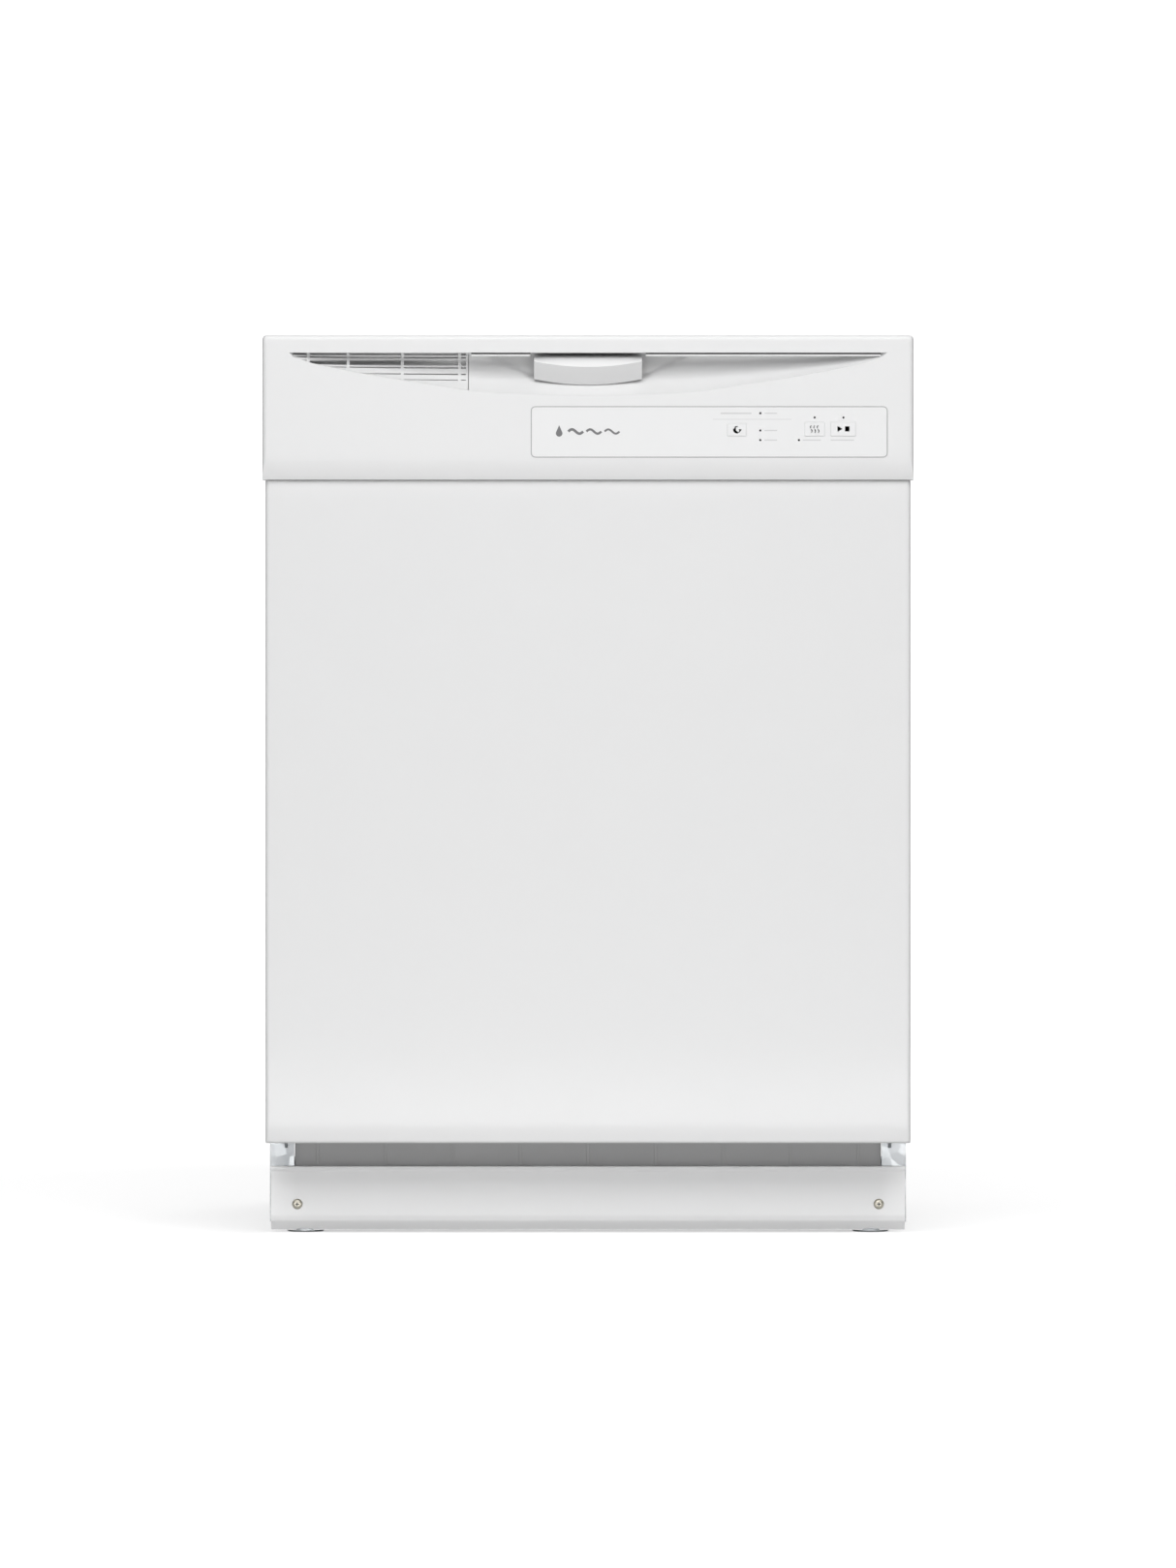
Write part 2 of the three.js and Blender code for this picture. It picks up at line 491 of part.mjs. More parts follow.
const WHEELS = [['front_left', -1, WHEEL.front], ['front_right', 1, WHEEL.front],
  ['rear_left', -1, WHEEL.rear], ['rear_right', 1, WHEEL.rear]];
const wheelMounts = WHEELS.flatMap(([, side, y]) => [
  block(sided(side, LOWER_RACK.halfWidth - 3, LOWER_RACK.halfWidth + 3), [y - 9, y + 9], [130, 163]),
  barX(y, WHEEL.z, WHEEL.axle, sided(side, LOWER_RACK.halfWidth + 1, WHEEL.outer + 1.5), 12),
]);
add('lower_rack', join(...rackBars(LOWER_RACK, 7, 7), ...wheelMounts), RACK_GREY);
for (const [place, side, y] of WHEELS) {
  add(`lower_wheel_${place}`, cut(
    barX(y, WHEEL.z, WHEEL.radius, sided(side, WHEEL.inner, WHEEL.outer), 32),
    barX(y, WHEEL.z, WHEEL.axle + GAP, sided(side, WHEEL.inner - 1, WHEEL.outer + 1), 16),
  ), RACK_GREY);
}

const makeBasket = () => {
  const { left, right, front, back, low, high, wall } = BASKET;
  const pocket = (back - front - wall) / 3;
  const pockets = [0, 1, 2].map((i) => {
    const start = front + wall + i * pocket;
    return block([left + wall, right - wall], [start, start + pocket - wall], [low + wall, high + 1]);
  });
  const centre = (left + right) / 2;
  const grip = [front + pocket, back - pocket];
  return join(
    cut(block([left, right], [front, back], [low, high]), ...pockets),
    block([centre - 4, centre + 4], grip, [296, 302]),
    ...grip.map((y) => block([centre - 4, centre + 4], [y - 2, y + 4.5], [high - 6, 302])),
  );
};
add('silverware_basket', makeBasket(), RACK_GREY);

// ---- door -----------------------------------------------------------------------------------------
const makeDoorPanel = () => {
  const { halfWidth, face, low, high, sheet, returns } = DOOR;
  const outer = alongZ(roundedRect(both(halfWidth), [face, -260], 4), [low, high]);
  const hollow = roundedRect(both(halfWidth - sheet), [face + sheet, -250], 2.8);
  const inner = alongZ(hollow, [low + sheet, high - sheet]);
  const rear = block(both(halfWidth + 1), [returns, -250], [low - 1, high + 1]);
  const behind = (y, z) => block(both(halfWidth - sheet), [y, returns + 1], z);
  const lowerGap = behind(face + 22, [low - 1, low + sheet + 1]);
  const upperGap = behind(face + 12, [high - sheet - 1, high + 1]);
  return cut(outer, inner, rear, lowerGap, upperGap);
};
add('door_outer_panel', makeDoorPanel(), WHITE_PAINT);

const makeLiner = () => {
  const { halfWidth, front, back, low, high, wall, web } = LINER;
  const inside = block(both(halfWidth - wall), [front - 1, back - web], [low + wall, high - wall]);
  const frame = cut(block(both(halfWidth), [front, back], [low, high]), inside);
  const grown = [DISH.low - wall, DISH.high + wall];
  const panOutline = roundedRect(both(DISH.halfWidth + wall), grown, DISH.corner);
  const pan = alongY(panOutline, [DISH.floor - wall, back - 1]);
  const dishOutline = roundedRect(both(DISH.halfWidth), [DISH.low, DISH.high], DISH.corner);
  const dish = alongY(dishOutline, [DISH.floor, back + 1]);
  const armSlots = [-1, 1].map((side) => {
    return block(sided(side, 278.5, 285.5), [front - 1, back - web], [low - 1, low + 4]);
  });
  const dispenserHole = block(both(70.5), [DISH.floor - 5, DISH.floor + 1], [339.5, 440.5]);
  const hookSlot = block(both(HOOK_NOTCH.halfWidth), [front - 1, back + 1], [HOOK_NOTCH.low, high + 1]);
  return cut(join(frame, pan), dish, ...armSlots, dispenserHole, hookSlot);
};
add('door_liner', makeLiner(), TUB_GREY);

// The grip pocket's outline: straight on top, a shallow symmetric curve below. margin grows it all round.
const pocketShape = (margin) => {
  const lower = POCKET_LOWER_EDGE.map(([x, z]) => new THREE.Vector2(x, z - margin));
  const mirrored = lower.map((p) => new THREE.Vector2(-p.x, p.y));
  const shape = new THREE.Shape();
  const tip = POCKET.halfWidth + margin;
  shape.moveTo(-tip, POCKET.top + margin);
  shape.splineThru([...mirrored, new THREE.Vector2(0, POCKET_LOWEST - margin), ...lower.reverse()]);
  shape.lineTo(tip, POCKET.top + margin);
  return shape;
};

const makeConsole = () => {
  const { face, low, wall, back } = CONSOLE;
  const side = new THREE.Shape();
  side.moveTo(back, low);
  side.lineTo(back, TOP);
  side.absarc(face + 5, TOP - 5, 5, Math.PI / 2, Math.PI);
  side.absarc(face + 6, low + 6, 6, Math.PI, Math.PI * 1.5);
  const cornered = alongY(roundedRect(both(HALF_WIDTH), [low, TOP], 4.5), [face - 1, back + 1]);
  const outer = common(alongX(side, both(HALF_WIDTH)), cornered);
  const inner = HALF_WIDTH - wall;
  const hollow = block(both(inner), [face + wall, back + 1], [low + wall, TOP - wall]);
  const underLiner = block(both(inner), [LINER.front - 1, back + 1], [low - 1, low + wall + 1]);
  const rear = block(both(HALF_WIDTH + 1), [DOOR.returns, back + 1], [low - 1, TOP - wall]);
  const shell = cut(outer, hollow, underLiner, rear);
  const walled = join(shell, alongY(pocketShape(POCKET.wall), [face + 1, POCKET.floor + POCKET.wall], 3));
  const seat = roundedRect([FASCIA.left, FASCIA.right], [FASCIA.low, FASCIA.high], FASCIA.corner);
  const holes = BUTTONS.map(({ left, right, low: z0, high: z1 }) => {
    return block([left - GAP, right + GAP], [face - 1, face + wall + 1], [z0 - GAP, z1 + GAP]);
  });
  return cut(walled, alongY(pocketShape(0), [face - 2, POCKET.floor], 3),
    alongY(seat, [face - 1, face + FASCIA.depth]), ...holes);
};
add('console', makeConsole(), WHITE_PLASTIC);

const fasciaShape = roundedRect(
  [FASCIA.left + GAP, FASCIA.right - GAP], [FASCIA.low + GAP, FASCIA.high - GAP], FASCIA.corner - GAP);
const fasciaHoles = BUTTONS.map(({ left, right, low, high }) => {
  return block([left - GAP, right + GAP], [FRONT - 1, FRONT + 4], [low - GAP, high + GAP]);
});
add('console_fascia', cut(alongY(fasciaShape, [CONSOLE.face + 0.05, CONSOLE.face + 0.55]), ...fasciaHoles),
  OVERLAY_WHITE);

for (const { name, left, right, low, high } of BUTTONS) {
  const outline = roundedRect([left, right], [low, high], 1.5);
  add(name, alongY(outline, [FRONT, FRONT + 6.5]), OVERLAY_WHITE);
}

const makeGrille = () => {
  const depth = [-309, -296];
  const ribs = [-262, -224.8, -174, -120.5].map((x) => block([x - 1.5, x + 1.5], depth, [780, 830]));
  const endWall = block([-114, -111], depth, [780, 830]);
  const louvres = [796, 801.5, 807, 812.5, 818, 823.5].map((z) => block([-272, -111], depth, [z, z + 2]));
  return common(join(...ribs, endWall, ...louvres), alongY(pocketShape(-0.6), [-312, -294], 3));
};
add('vent_grille', makeGrille(), WHITE_PLASTIC);

add('control_board_box', block([70, 265], [-308.5, -294], [718, 782]), BLACK_PLASTIC);

for (const [side, name] of [[-1, 'left_hinge_arm'], [1, 'right_hinge_arm']]) {
  const shape = new THREE.Shape();
  shape.absarc(HINGE.y, HINGE.z, 8, Math.PI, Math.PI * 2);
  shape.lineTo(-266, 114);
  shape.lineTo(-266, 430);
  shape.lineTo(-288, 430);
  shape.lineTo(-288, 130);
  const plate = alongX(shape, sided(side, 280.3, 283.7), 8);
  const pin = barX(HINGE.y, HINGE.z, HINGE.pin, sided(side, 281, 290));
  add(name, join(plate, pin), GALVANISED);
}

const handleProfile = polygon([
  [-296, 826], [-304, 826], [-314.5, 816], [-308, 799.5], [-304, 799.5], [-306, 812], [-296, 818],
]);
add('latch_handle', alongX(handleProfile, both(HANDLE.halfWidth)), WHITE_PLASTIC);

const hookProfile = polygon([[-287, 821], [-273, 821], [-273, HOOK.noseLow], [-245, HOOK.noseLow],
  [-245, HOOK.noseHigh], [-287, HOOK.noseHigh]]);
add('latch_hook', alongX(hookProfile, both(HOOK.halfWidth)), GALVANISED);

// ---- dispenser in the door liner ------------------------------------------------------------------
const flangeBack = DISH.floor + 0.3;
add('detergent_dispenser', cut(
  join(
    block(both(DISPENSER.halfWidth), [flangeBack, DISPENSER.face], [DISPENSER.low, DISPENSER.high]),
    block(both(70), [-303, flangeBack + 1], [340, 440]),
  ),
  block([-62, 0], [-298, -270], [350, 430]),
), RACK_GREY);
const lidBack = DISPENSER.face + 0.3;
add('detergent_lid', block([LID.left, LID.right], [lidBack, lidBack + LID.thickness], [LID.low, LID.high]),
  RACK_GREY);
add('rinse_aid_cap', join(
  barY(42, 390, 15, [lidBack, lidBack + 4], 28),
  block([30, 54], [lidBack + 3, lidBack + 8], [388, 392]),
), RACK_GREY);

export default dishwasher;
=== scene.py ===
"""Looks of a built-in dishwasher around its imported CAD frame. Metres, +Z up, the front faces -Y."""

import json
import math

import bmesh
import bpy
from mathutils import Matrix, Vector


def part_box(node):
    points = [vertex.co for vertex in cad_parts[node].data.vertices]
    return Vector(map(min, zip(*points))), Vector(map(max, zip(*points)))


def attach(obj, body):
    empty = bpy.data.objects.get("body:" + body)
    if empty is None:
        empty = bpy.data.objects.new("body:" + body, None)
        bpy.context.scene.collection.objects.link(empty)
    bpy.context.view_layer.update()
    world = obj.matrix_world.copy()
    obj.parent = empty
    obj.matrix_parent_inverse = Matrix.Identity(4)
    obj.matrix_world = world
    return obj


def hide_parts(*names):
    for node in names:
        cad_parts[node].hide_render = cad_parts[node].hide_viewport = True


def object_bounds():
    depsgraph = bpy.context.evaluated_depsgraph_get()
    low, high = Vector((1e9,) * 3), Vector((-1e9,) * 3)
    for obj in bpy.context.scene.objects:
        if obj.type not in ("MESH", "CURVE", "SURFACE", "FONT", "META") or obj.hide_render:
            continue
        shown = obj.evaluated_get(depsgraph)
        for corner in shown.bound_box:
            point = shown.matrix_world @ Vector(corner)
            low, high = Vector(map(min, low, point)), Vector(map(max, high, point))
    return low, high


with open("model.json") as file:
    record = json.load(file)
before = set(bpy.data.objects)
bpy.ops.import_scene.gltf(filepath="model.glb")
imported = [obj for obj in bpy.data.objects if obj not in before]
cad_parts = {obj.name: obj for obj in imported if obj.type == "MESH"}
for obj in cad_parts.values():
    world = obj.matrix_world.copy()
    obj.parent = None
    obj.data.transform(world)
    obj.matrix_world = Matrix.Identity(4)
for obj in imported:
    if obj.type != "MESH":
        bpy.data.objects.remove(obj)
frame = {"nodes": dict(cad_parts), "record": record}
CAD_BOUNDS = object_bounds()

MM = 0.001


# ---- small helpers ---------------------------------------------------------------------------------
def span(node):
    """A node's box as three (low, high) pairs in metres."""
    low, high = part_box(node)
    return [(low[i], high[i]) for i in range(3)]


def lerp(a, b, t):
    return a + (b - a) * t


def spread(low, high, count):
    return [lerp(low, high, i / (count - 1)) for i in range(count)]


# ---- camera and light ------------------------------------------------------------------------------
def make_camera():
    view_height = 1.4675
    distance = 7.0
    front = CAD_BOUNDS[0].y
    data = bpy.data.cameras.new("camera")
    data.sensor_width = 36.0
    data.lens = data.sensor_width * distance / view_height
    data.dof.use_dof = False
    camera = bpy.data.objects.new("camera", data)
    bpy.context.scene.collection.objects.link(camera)
    camera.location = (0.0, front - distance, 0.4244)
    camera.rotation_euler = (math.radians(90), 0, 0)
    bpy.context.scene.camera = camera


def area_light(name, location, target, size, power, gloss=1.0):
    data = bpy.data.lights.new(name, "AREA")
    data.shape = "RECTANGLE"
    data.size, data.size_y = size
    data.energy = power
    data.specular_factor = gloss
    light = bpy.data.objects.new(name, data)
    bpy.context.scene.collection.objects.link(light)
    light.location = location
    light.visible_camera = False
    aim = Vector(target) - Vector(location)
    light.rotation_euler = aim.to_track_quat("-Z", "Y").to_euler()


def make_lights():
    world = bpy.data.worlds.new("studio")
    bpy.context.scene.world = world
    world.use_nodes = True
    background = world.node_tree.nodes["Background"]
    background.inputs["Color"].default_value = (1, 1, 1, 1)
    background.inputs["Strength"].default_value = 0.48
    area_light("softbox_above", (0, -2.5, 2.5), (0, -0.3, 0.4), (3.2, 2.2), 88)
    area_light("low_fill", (0, -1.5, 0.05), (0, -0.3, 0.06), (2.0, 0.12), 5, 0.0)
    area_light("back_fill", (0.8, 3.6, 2.4), (0, 0.3, 0.4), (3.0, 2.0), 45, 0.5)
    bpy.context.scene.view_settings.view_transform = "Standard"


# ---- materials -------------------------------------------------------------------------------------
SURFACES = {}


class Paint:
    """A Principled material with object-space texture nodes added one by one."""

    def __init__(self, name, rgb, roughness, metallic=0.0):
        self.material = bpy.data.materials.new(name)
        self.material.use_nodes = True
        self.tree = self.material.node_tree
        self.shader = self.tree.nodes["Principled BSDF"]
        self.rgb = (*rgb, 1)
        self.shader.inputs["Base Color"].default_value = self.rgb
        self.shader.inputs["Roughness"].default_value = roughness
        self.shader.inputs["Metallic"].default_value = metallic
        self.coordinates = self.tree.nodes.new("ShaderNodeTexCoord")
        self.normal = None
        SURFACES[name] = self.material

    def node(self, kind, **values):
        made = self.tree.nodes.new(kind)
        for key, value in values.items():
            if key in made.inputs:
                made.inputs[key].default_value = value
            else:
                setattr(made, key, value)
        return made

    def wire(self, source, target):
        self.tree.links.new(source, target)

    def stretched(self, scale):
        mapping = self.node("ShaderNodeMapping")
        mapping.inputs["Scale"].default_value = scale
        self.wire(self.coordinates.outputs["Object"], mapping.inputs["Vector"])
        return mapping.outputs["Vector"]

    def noise(self, scale, detail=4.0, stretch=(1, 1, 1)):
        texture = self.node("ShaderNodeTexNoise", Scale=scale, Detail=detail)
        self.wire(self.stretched(stretch), texture.inputs["Vector"])
        return texture.outputs["Fac"]

    def cells(self, scale):
        texture = self.node("ShaderNodeTexVoronoi", Scale=scale)
        self.wire(self.stretched((1, 1, 1)), texture.inputs["Vector"])
        return texture.outputs

    def ramped(self, factor, low, high):
        ramp = self.node("ShaderNodeMapRange")
        ramp.inputs["To Min"].default_value = low
        ramp.inputs["To Max"].default_value = high
        self.wire(factor, ramp.inputs["Value"])
        return ramp.outputs["Result"]

    def tint(self, factor, other, share):
        """Blends the colour towards another one where factor is high."""
        mix = self.node("ShaderNodeMix", data_type="RGBA")
        mix.inputs["A"].default_value = self.rgb
        mix.inputs["B"].default_value = (*other, 1)
        self.wire(self.ramped(factor, 0.0, share), mix.inputs["Factor"])
        source = self.shader.inputs["Base Color"]
        if source.is_linked:
            self.wire(source.links[0].from_socket, mix.inputs["A"])
        self.wire(mix.outputs["Result"], source)
        return self

    def rough(self, factor, low, high):
        self.wire(self.ramped(factor, low, high), self.shader.inputs["Roughness"])
        return self

    def bump(self, factor, strength, distance):
        bump = self.node("ShaderNodeBump", Strength=strength, Distance=distance)
        self.wire(factor, bump.inputs["Height"])
        if self.normal:
            self.wire(self.normal, bump.inputs["Normal"])
        self.normal = bump.outputs["Normal"]
        self.wire(self.normal, self.shader.inputs["Normal"])
        return self

    def edges(self, rgb, share):
        """Lightens or darkens the colour along sharp convex edges."""
        geometry = self.node("ShaderNodeNewGeometry")
        ramp = self.node("ShaderNodeMapRange")
        ramp.inputs["From Min"].default_value = 0.52
        ramp.inputs["From Max"].default_value = 0.6
        self.wire(geometry.outputs["Pointiness"], ramp.inputs["Value"])
        return self.tint(ramp.outputs["Result"], rgb, share)

    def set(self, socket, value):
        self.shader.inputs[socket].default_value = value
        return self


def make_materials():
    p = Paint("white_enamel", (0.66, 0.66, 0.66), 0.33)
    p.tint(p.noise(3.0), (0.64, 0.645, 0.65), 0.5).rough(p.noise(26), 0.28, 0.4)
    p.bump(p.noise(900, 2), 0.05, 0.0002).set("Coat Weight", 0.25).set("Coat Roughness", 0.12)

    # A lighter copy of the door's white enamel for the kick plate: painted light that cancels the shade it sits in
    # below the door.
    p = Paint("kick_enamel_painted_light", (0.9, 0.9, 0.9), 0.36)
    p.tint(p.noise(4.0), (0.88, 0.885, 0.89), 0.5).rough(p.noise(26), 0.3, 0.42)
    p.bump(p.noise(900, 2), 0.05, 0.0002)

    p = Paint("console_white", (0.67, 0.67, 0.67), 0.38)
    p.tint(p.noise(5.0), (0.65, 0.655, 0.66), 0.5).rough(p.noise(60), 0.34, 0.46)
    p.bump(p.noise(1600, 3), 0.08, 0.0001).set("Specular IOR Level", 0.45)

    p = Paint("overlay_white", (0.70, 0.70, 0.70), 0.3)
    p.tint(p.noise(9.0), (0.685, 0.69, 0.695), 0.6).rough(p.noise(120), 0.26, 0.36)
    p.bump(p.noise(2600, 2), 0.04, 0.00005)

    p = Paint("tub_plastic", (0.50, 0.52, 0.53), 0.42)
    p.tint(p.noise(6.0), (0.44, 0.46, 0.48), 0.6).rough(p.noise(40), 0.36, 0.52)
    p.bump(p.noise(1100, 4), 0.1, 0.00015).edges((0.62, 0.64, 0.65), 0.35)

    p = Paint("wash_plastic", (0.27, 0.295, 0.315), 0.46)
    p.tint(p.noise(12.0), (0.22, 0.24, 0.26), 0.6).rough(p.noise(70), 0.4, 0.56)
    p.bump(p.noise(1500, 3), 0.12, 0.00012).edges((0.38, 0.4, 0.42), 0.4)

    p = Paint("fitting_white", (0.72, 0.71, 0.68), 0.45)
    p.tint(p.noise(15.0), (0.66, 0.65, 0.61), 0.5).rough(p.noise(80), 0.38, 0.52)
    p.bump(p.noise(1300, 3), 0.1, 0.0001).set("Subsurface Weight", 0.05)

    p = Paint("rack_coating", (0.30, 0.35, 0.40), 0.5)
    p.tint(p.noise(30.0), (0.25, 0.30, 0.35), 0.6).rough(p.noise(300), 0.42, 0.58)
    p.bump(p.noise(2200, 2), 0.15, 0.0001)

    p = Paint("galvanised_steel", (0.55, 0.57, 0.58), 0.42, 1.0)
    spangle = p.cells(95)["Color"]
    p.tint(spangle, (0.40, 0.42, 0.44), 0.8).rough(spangle, 0.32, 0.55)
    p.bump(p.noise(700, 3), 0.08, 0.0001).edges((0.7, 0.71, 0.72), 0.3)

    p = Paint("zinc_steel", (0.60, 0.58, 0.52), 0.36, 1.0)
    p.tint(p.noise(40), (0.66, 0.60, 0.44), 0.5).rough(p.noise(200), 0.3, 0.45)
    p.bump(p.noise(900, 3), 0.1, 0.0001)

    p = Paint("stainless_steel", (0.62, 0.62, 0.61), 0.28, 1.0)
    grain = p.noise(260, 3, (1, 0.02, 1))
    p.tint(p.noise(8), (0.52, 0.52, 0.51), 0.5).rough(grain, 0.2, 0.38).bump(grain, 0.12, 0.0001)
    p.set("Anisotropic", 0.4)

    # Mid grey for the access panel, darker than its white-ish paint: painted shade of the gap under the door.
    p = Paint("dark_panel", (0.42, 0.42, 0.422), 0.55)
    p.tint(p.noise(14), (0.37, 0.37, 0.37), 0.6).rough(p.noise(90), 0.45, 0.65)
    p.bump(p.noise(1200, 3), 0.1, 0.0001)

    p = Paint("black_rubber", (0.022, 0.022, 0.023), 0.72)
    p.tint(p.noise(35), (0.05, 0.05, 0.05), 0.5).rough(p.noise(150), 0.62, 0.85)
    p.bump(p.noise(1800, 4), 0.2, 0.0001)

    p = Paint("black_plastic", (0.02, 0.02, 0.022), 0.45)
    p.tint(p.noise(18), (0.04, 0.04, 0.042), 0.6).rough(p.noise(90), 0.36, 0.55)
    p.bump(p.noise(1600, 3), 0.15, 0.0001).edges((0.1, 0.1, 0.1), 0.4)

    p = Paint("sound_blanket", (0.13, 0.12, 0.115), 0.95)
    fibre = p.noise(420, 8, (1, 1, 0.25))
    p.tint(fibre, (0.22, 0.21, 0.2), 0.8).bump(fibre, 0.6, 0.0012).bump(p.noise(40, 2), 0.5, 0.003)
    p.set("Sheen Weight", 0.3)

    p = Paint("ink_grey", (0.13, 0.13, 0.135), 0.5)
    p.tint(p.noise(300), (0.2, 0.2, 0.2), 0.5).bump(p.noise(3000, 2), 0.05, 0.00005)
    # Grey for the line round the overlay: painted shade of the recess gap at the overlay's edge.
    p = Paint("gap_shade_grey", (0.36, 0.36, 0.365), 0.5)
    p.tint(p.noise(300), (0.4, 0.4, 0.4), 0.5).bump(p.noise(3000, 2), 0.05, 0.00005)
    # Near-black paint for the strip in the slot under the pocket's lip: painted shadow of the lip.
    p = Paint("painted_lip_shadow", (0.10, 0.10, 0.102), 0.7)
    p.tint(p.noise(200), (0.13, 0.13, 0.13), 0.5).bump(p.noise(1500, 3), 0.2, 0.0001)
    p = Paint("ink_pale", (0.53, 0.53, 0.535), 0.5)
    p.tint(p.noise(300), (0.57, 0.57, 0.57), 0.5).bump(p.noise(3000, 2), 0.05, 0.00005)
    p = Paint("lamp_lens", (0.012, 0.012, 0.013), 0.12)
    p.tint(p.noise(500), (0.03, 0.03, 0.03), 0.5).set("Coat Weight", 0.6)
    p = Paint("copper_wire", (0.55, 0.26, 0.13), 0.35, 1.0)
    p.tint(p.noise(200), (0.4, 0.18, 0.09), 0.6).bump(p.noise(900, 3), 0.3, 0.0003)
    p = Paint("spring_steel", (0.42, 0.42, 0.43), 0.32, 1.0)
    p.tint(p.noise(90), (0.3, 0.3, 0.31), 0.6).rough(p.noise(300), 0.25, 0.42)

    # The console's white plastic made a little greyer for the handle: painted shade of the lip's shadow over it.
    p = Paint("handle_white_painted_shade", (0.63, 0.63, 0.63), 0.4)
    p.tint(p.noise(5.0), (0.615, 0.62, 0.625), 0.5).rough(p.noise(60), 0.36, 0.46)
    p.bump(p.noise(1600, 3), 0.08, 0.0001)


def make_floor_paint():
    """The studio floor: it takes shadows near the object and fades into an even white backdrop."""
    p = Paint("studio_floor", (0.6, 0.6, 0.6), 0.9)
    p.tint(p.noise(1.5), (0.59, 0.59, 0.595), 0.5).set("Emission Color", (1, 1, 1, 1))
    away = p.node("ShaderNodeVectorMath", operation="LENGTH")
    p.wire(p.coordinates.outputs["Object"], away.inputs[0])
    fade = p.node("ShaderNodeMapRange")
    for socket, value in {"From Min": 1.0, "From Max": 3.5, "To Min": 0.55, "To Max": 1.0}.items():
        fade.inputs[socket].default_value = value
    p.wire(away.outputs["Value"], fade.inputs["Value"])
    seen = p.node("ShaderNodeLightPath")
    glow = p.node("ShaderNodeMath", operation="MULTIPLY")
    p.wire(fade.outputs["Result"], glow.inputs[0])
    p.wire(seen.outputs["Is Camera Ray"], glow.inputs[1])
    p.wire(glow.outputs["Value"], p.shader.inputs["Emission Strength"])


# ---- piece makers ----------------------------------------------------------------------------------
SLOT_OF = {entry["node"]: entry["material_slot"] for entry in frame["record"]["subparts"]}
BODY_OF = {node: body for body, nodes in frame["record"]["behaviour"]["bodies"].items() for node in nodes}


def settle(piece, body, surface, replaces=()):
    """Gives a piece its finish and its body, and hides the CAD nodes that it stands for."""
    piece.data.materials.clear()
    piece.data.materials.append(SURFACES[surface])
    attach(piece, body)
    if replaces:
        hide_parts(*replaces)
    return piece


def linked(name, data):
    piece = bpy.data.objects.new(name, data)
    bpy.context.scene.collection.objects.link(piece)
    return piece


def from_bmesh(name, bm, angle=35):
    """A mesh object from a bmesh, with smooth faces and sharp edges past an angle in degrees."""
    bmesh.ops.recalc_face_normals(bm, faces=bm.faces)
    for face in bm.faces:
        face.smooth = True
    for edge in bm.edges:
        if edge.is_boundary or edge.calc_face_angle(0) > math.radians(angle):
            edge.smooth = False
    mesh = bpy.data.meshes.new(name)
    bm.to_mesh(mesh)
    bm.free()
    return linked(name, mesh)


def bevelled(piece, width, segments=2, angle=30):
    bevel = piece.modifiers.new("bevel", "BEVEL")
    bevel.width = width
    bevel.segments = segments
    bevel.limit_method = "ANGLE"
    bevel.angle_limit = math.radians(angle)
    bevel.harden_normals = True
    return piece


def refined(node, width=0.5 * MM, surface=None, segments=2):
    """A node's own shape with its facets merged, its edges rounded and smooth shading."""
    bm = bmesh.new()
    bm.from_mesh(frame["nodes"][node].data)
    bmesh.ops.remove_doubles(bm, verts=bm.verts, dist=2e-5)
    bmesh.ops.dissolve_limit(bm, angle_limit=math.radians(1), verts=bm.verts, edges=bm.edges)
    piece = from_bmesh(node + ".fine", bm)
    bevelled(piece, width, segments)
    return settle(piece, BODY_OF[node], surface or SLOT_OF[node], [node])


def box_mesh(bm, low, high):
    """Adds a box to a bmesh and returns its vertices."""
    made = bmesh.ops.create_cube(bm, size=1.0)["verts"]
    centre = [(a + b) / 2 for a, b in zip(low, high)]
    size = [b - a for a, b in zip(low, high)]
    bmesh.ops.scale(bm, vec=size, verts=made)
    bmesh.ops.translate(bm, vec=centre, verts=made)
    return made


def boxes(name, corners, body, surface, width=0.4 * MM, replaces=()):
    """One piece from several boxes with rounded edges; corners holds (low, high) pairs."""
    bm = bmesh.new()
    for low, high in corners:
        box_mesh(bm, low, high)
    piece = bevelled(from_bmesh(name, bm), width)
    return settle(piece, body, surface, replaces)


AXES = {"x": Matrix.Rotation(math.radians(90), 3, "Y"), "y": Matrix.Rotation(math.radians(-90), 3, "X"),
        "z": Matrix.Identity(3)}


def lathe_mesh(bm, profile, centre, axis, steps=40):
    """Adds a turned shape: profile holds (radius, height) points, height runs along the axis."""
    rings = []
    for radius, height in profile:
        ring = []
        for i in range(steps):
            turn = 2 * math.pi * i / steps
            local = Vector((radius * math.cos(turn), radius * math.sin(turn), height))
            ring.append(bm.verts.new(AXES[axis] @ local + Vector(centre)))
        rings.append(ring)
    for low, high in zip(rings, rings[1:]):
        for i in range(steps):
            j = (i + 1) % steps
            bm.faces.new((low[i], low[j], high[j], high[i]))
    bm.faces.new(rings[0][::-1])
    bm.faces.new(rings[-1])


def turned(name, parts, body, surface, replaces=(), steps=40, width=0.3 * MM):
    """One piece from turned shapes; parts holds (profile, centre, axis)."""
    bm = bmesh.new()
    for profile, centre, axis in parts:
        lathe_mesh(bm, profile, centre, axis, steps)
    piece = bevelled(from_bmesh(name, bm, 30), width)
    return settle(piece, body, surface, replaces)


def disc_profile(radius, low, high, edge):
    """A disc's or rod's profile with softened rims."""
    return [(radius - edge, low), (radius, low + edge), (radius, high - edge), (radius - edge, high)]


def wires(name, runs, radius, body, surface, replaces=(), resolution=3, closed=False):
    """Round wires through lists of points, as one curve piece."""
    data = bpy.data.curves.new(name, "CURVE")
    data.dimensions = "3D"
    data.bevel_depth = radius
    data.bevel_resolution = resolution
    data.use_fill_caps = True
    for run in runs:
        spline = data.splines.new("POLY")
        spline.points.add(len(run) - 1)
        spline.use_cyclic_u = closed
        for point, place in zip(spline.points, run):
            point.co = (*place, 1)
    return settle(linked(name, data), body, surface, replaces)


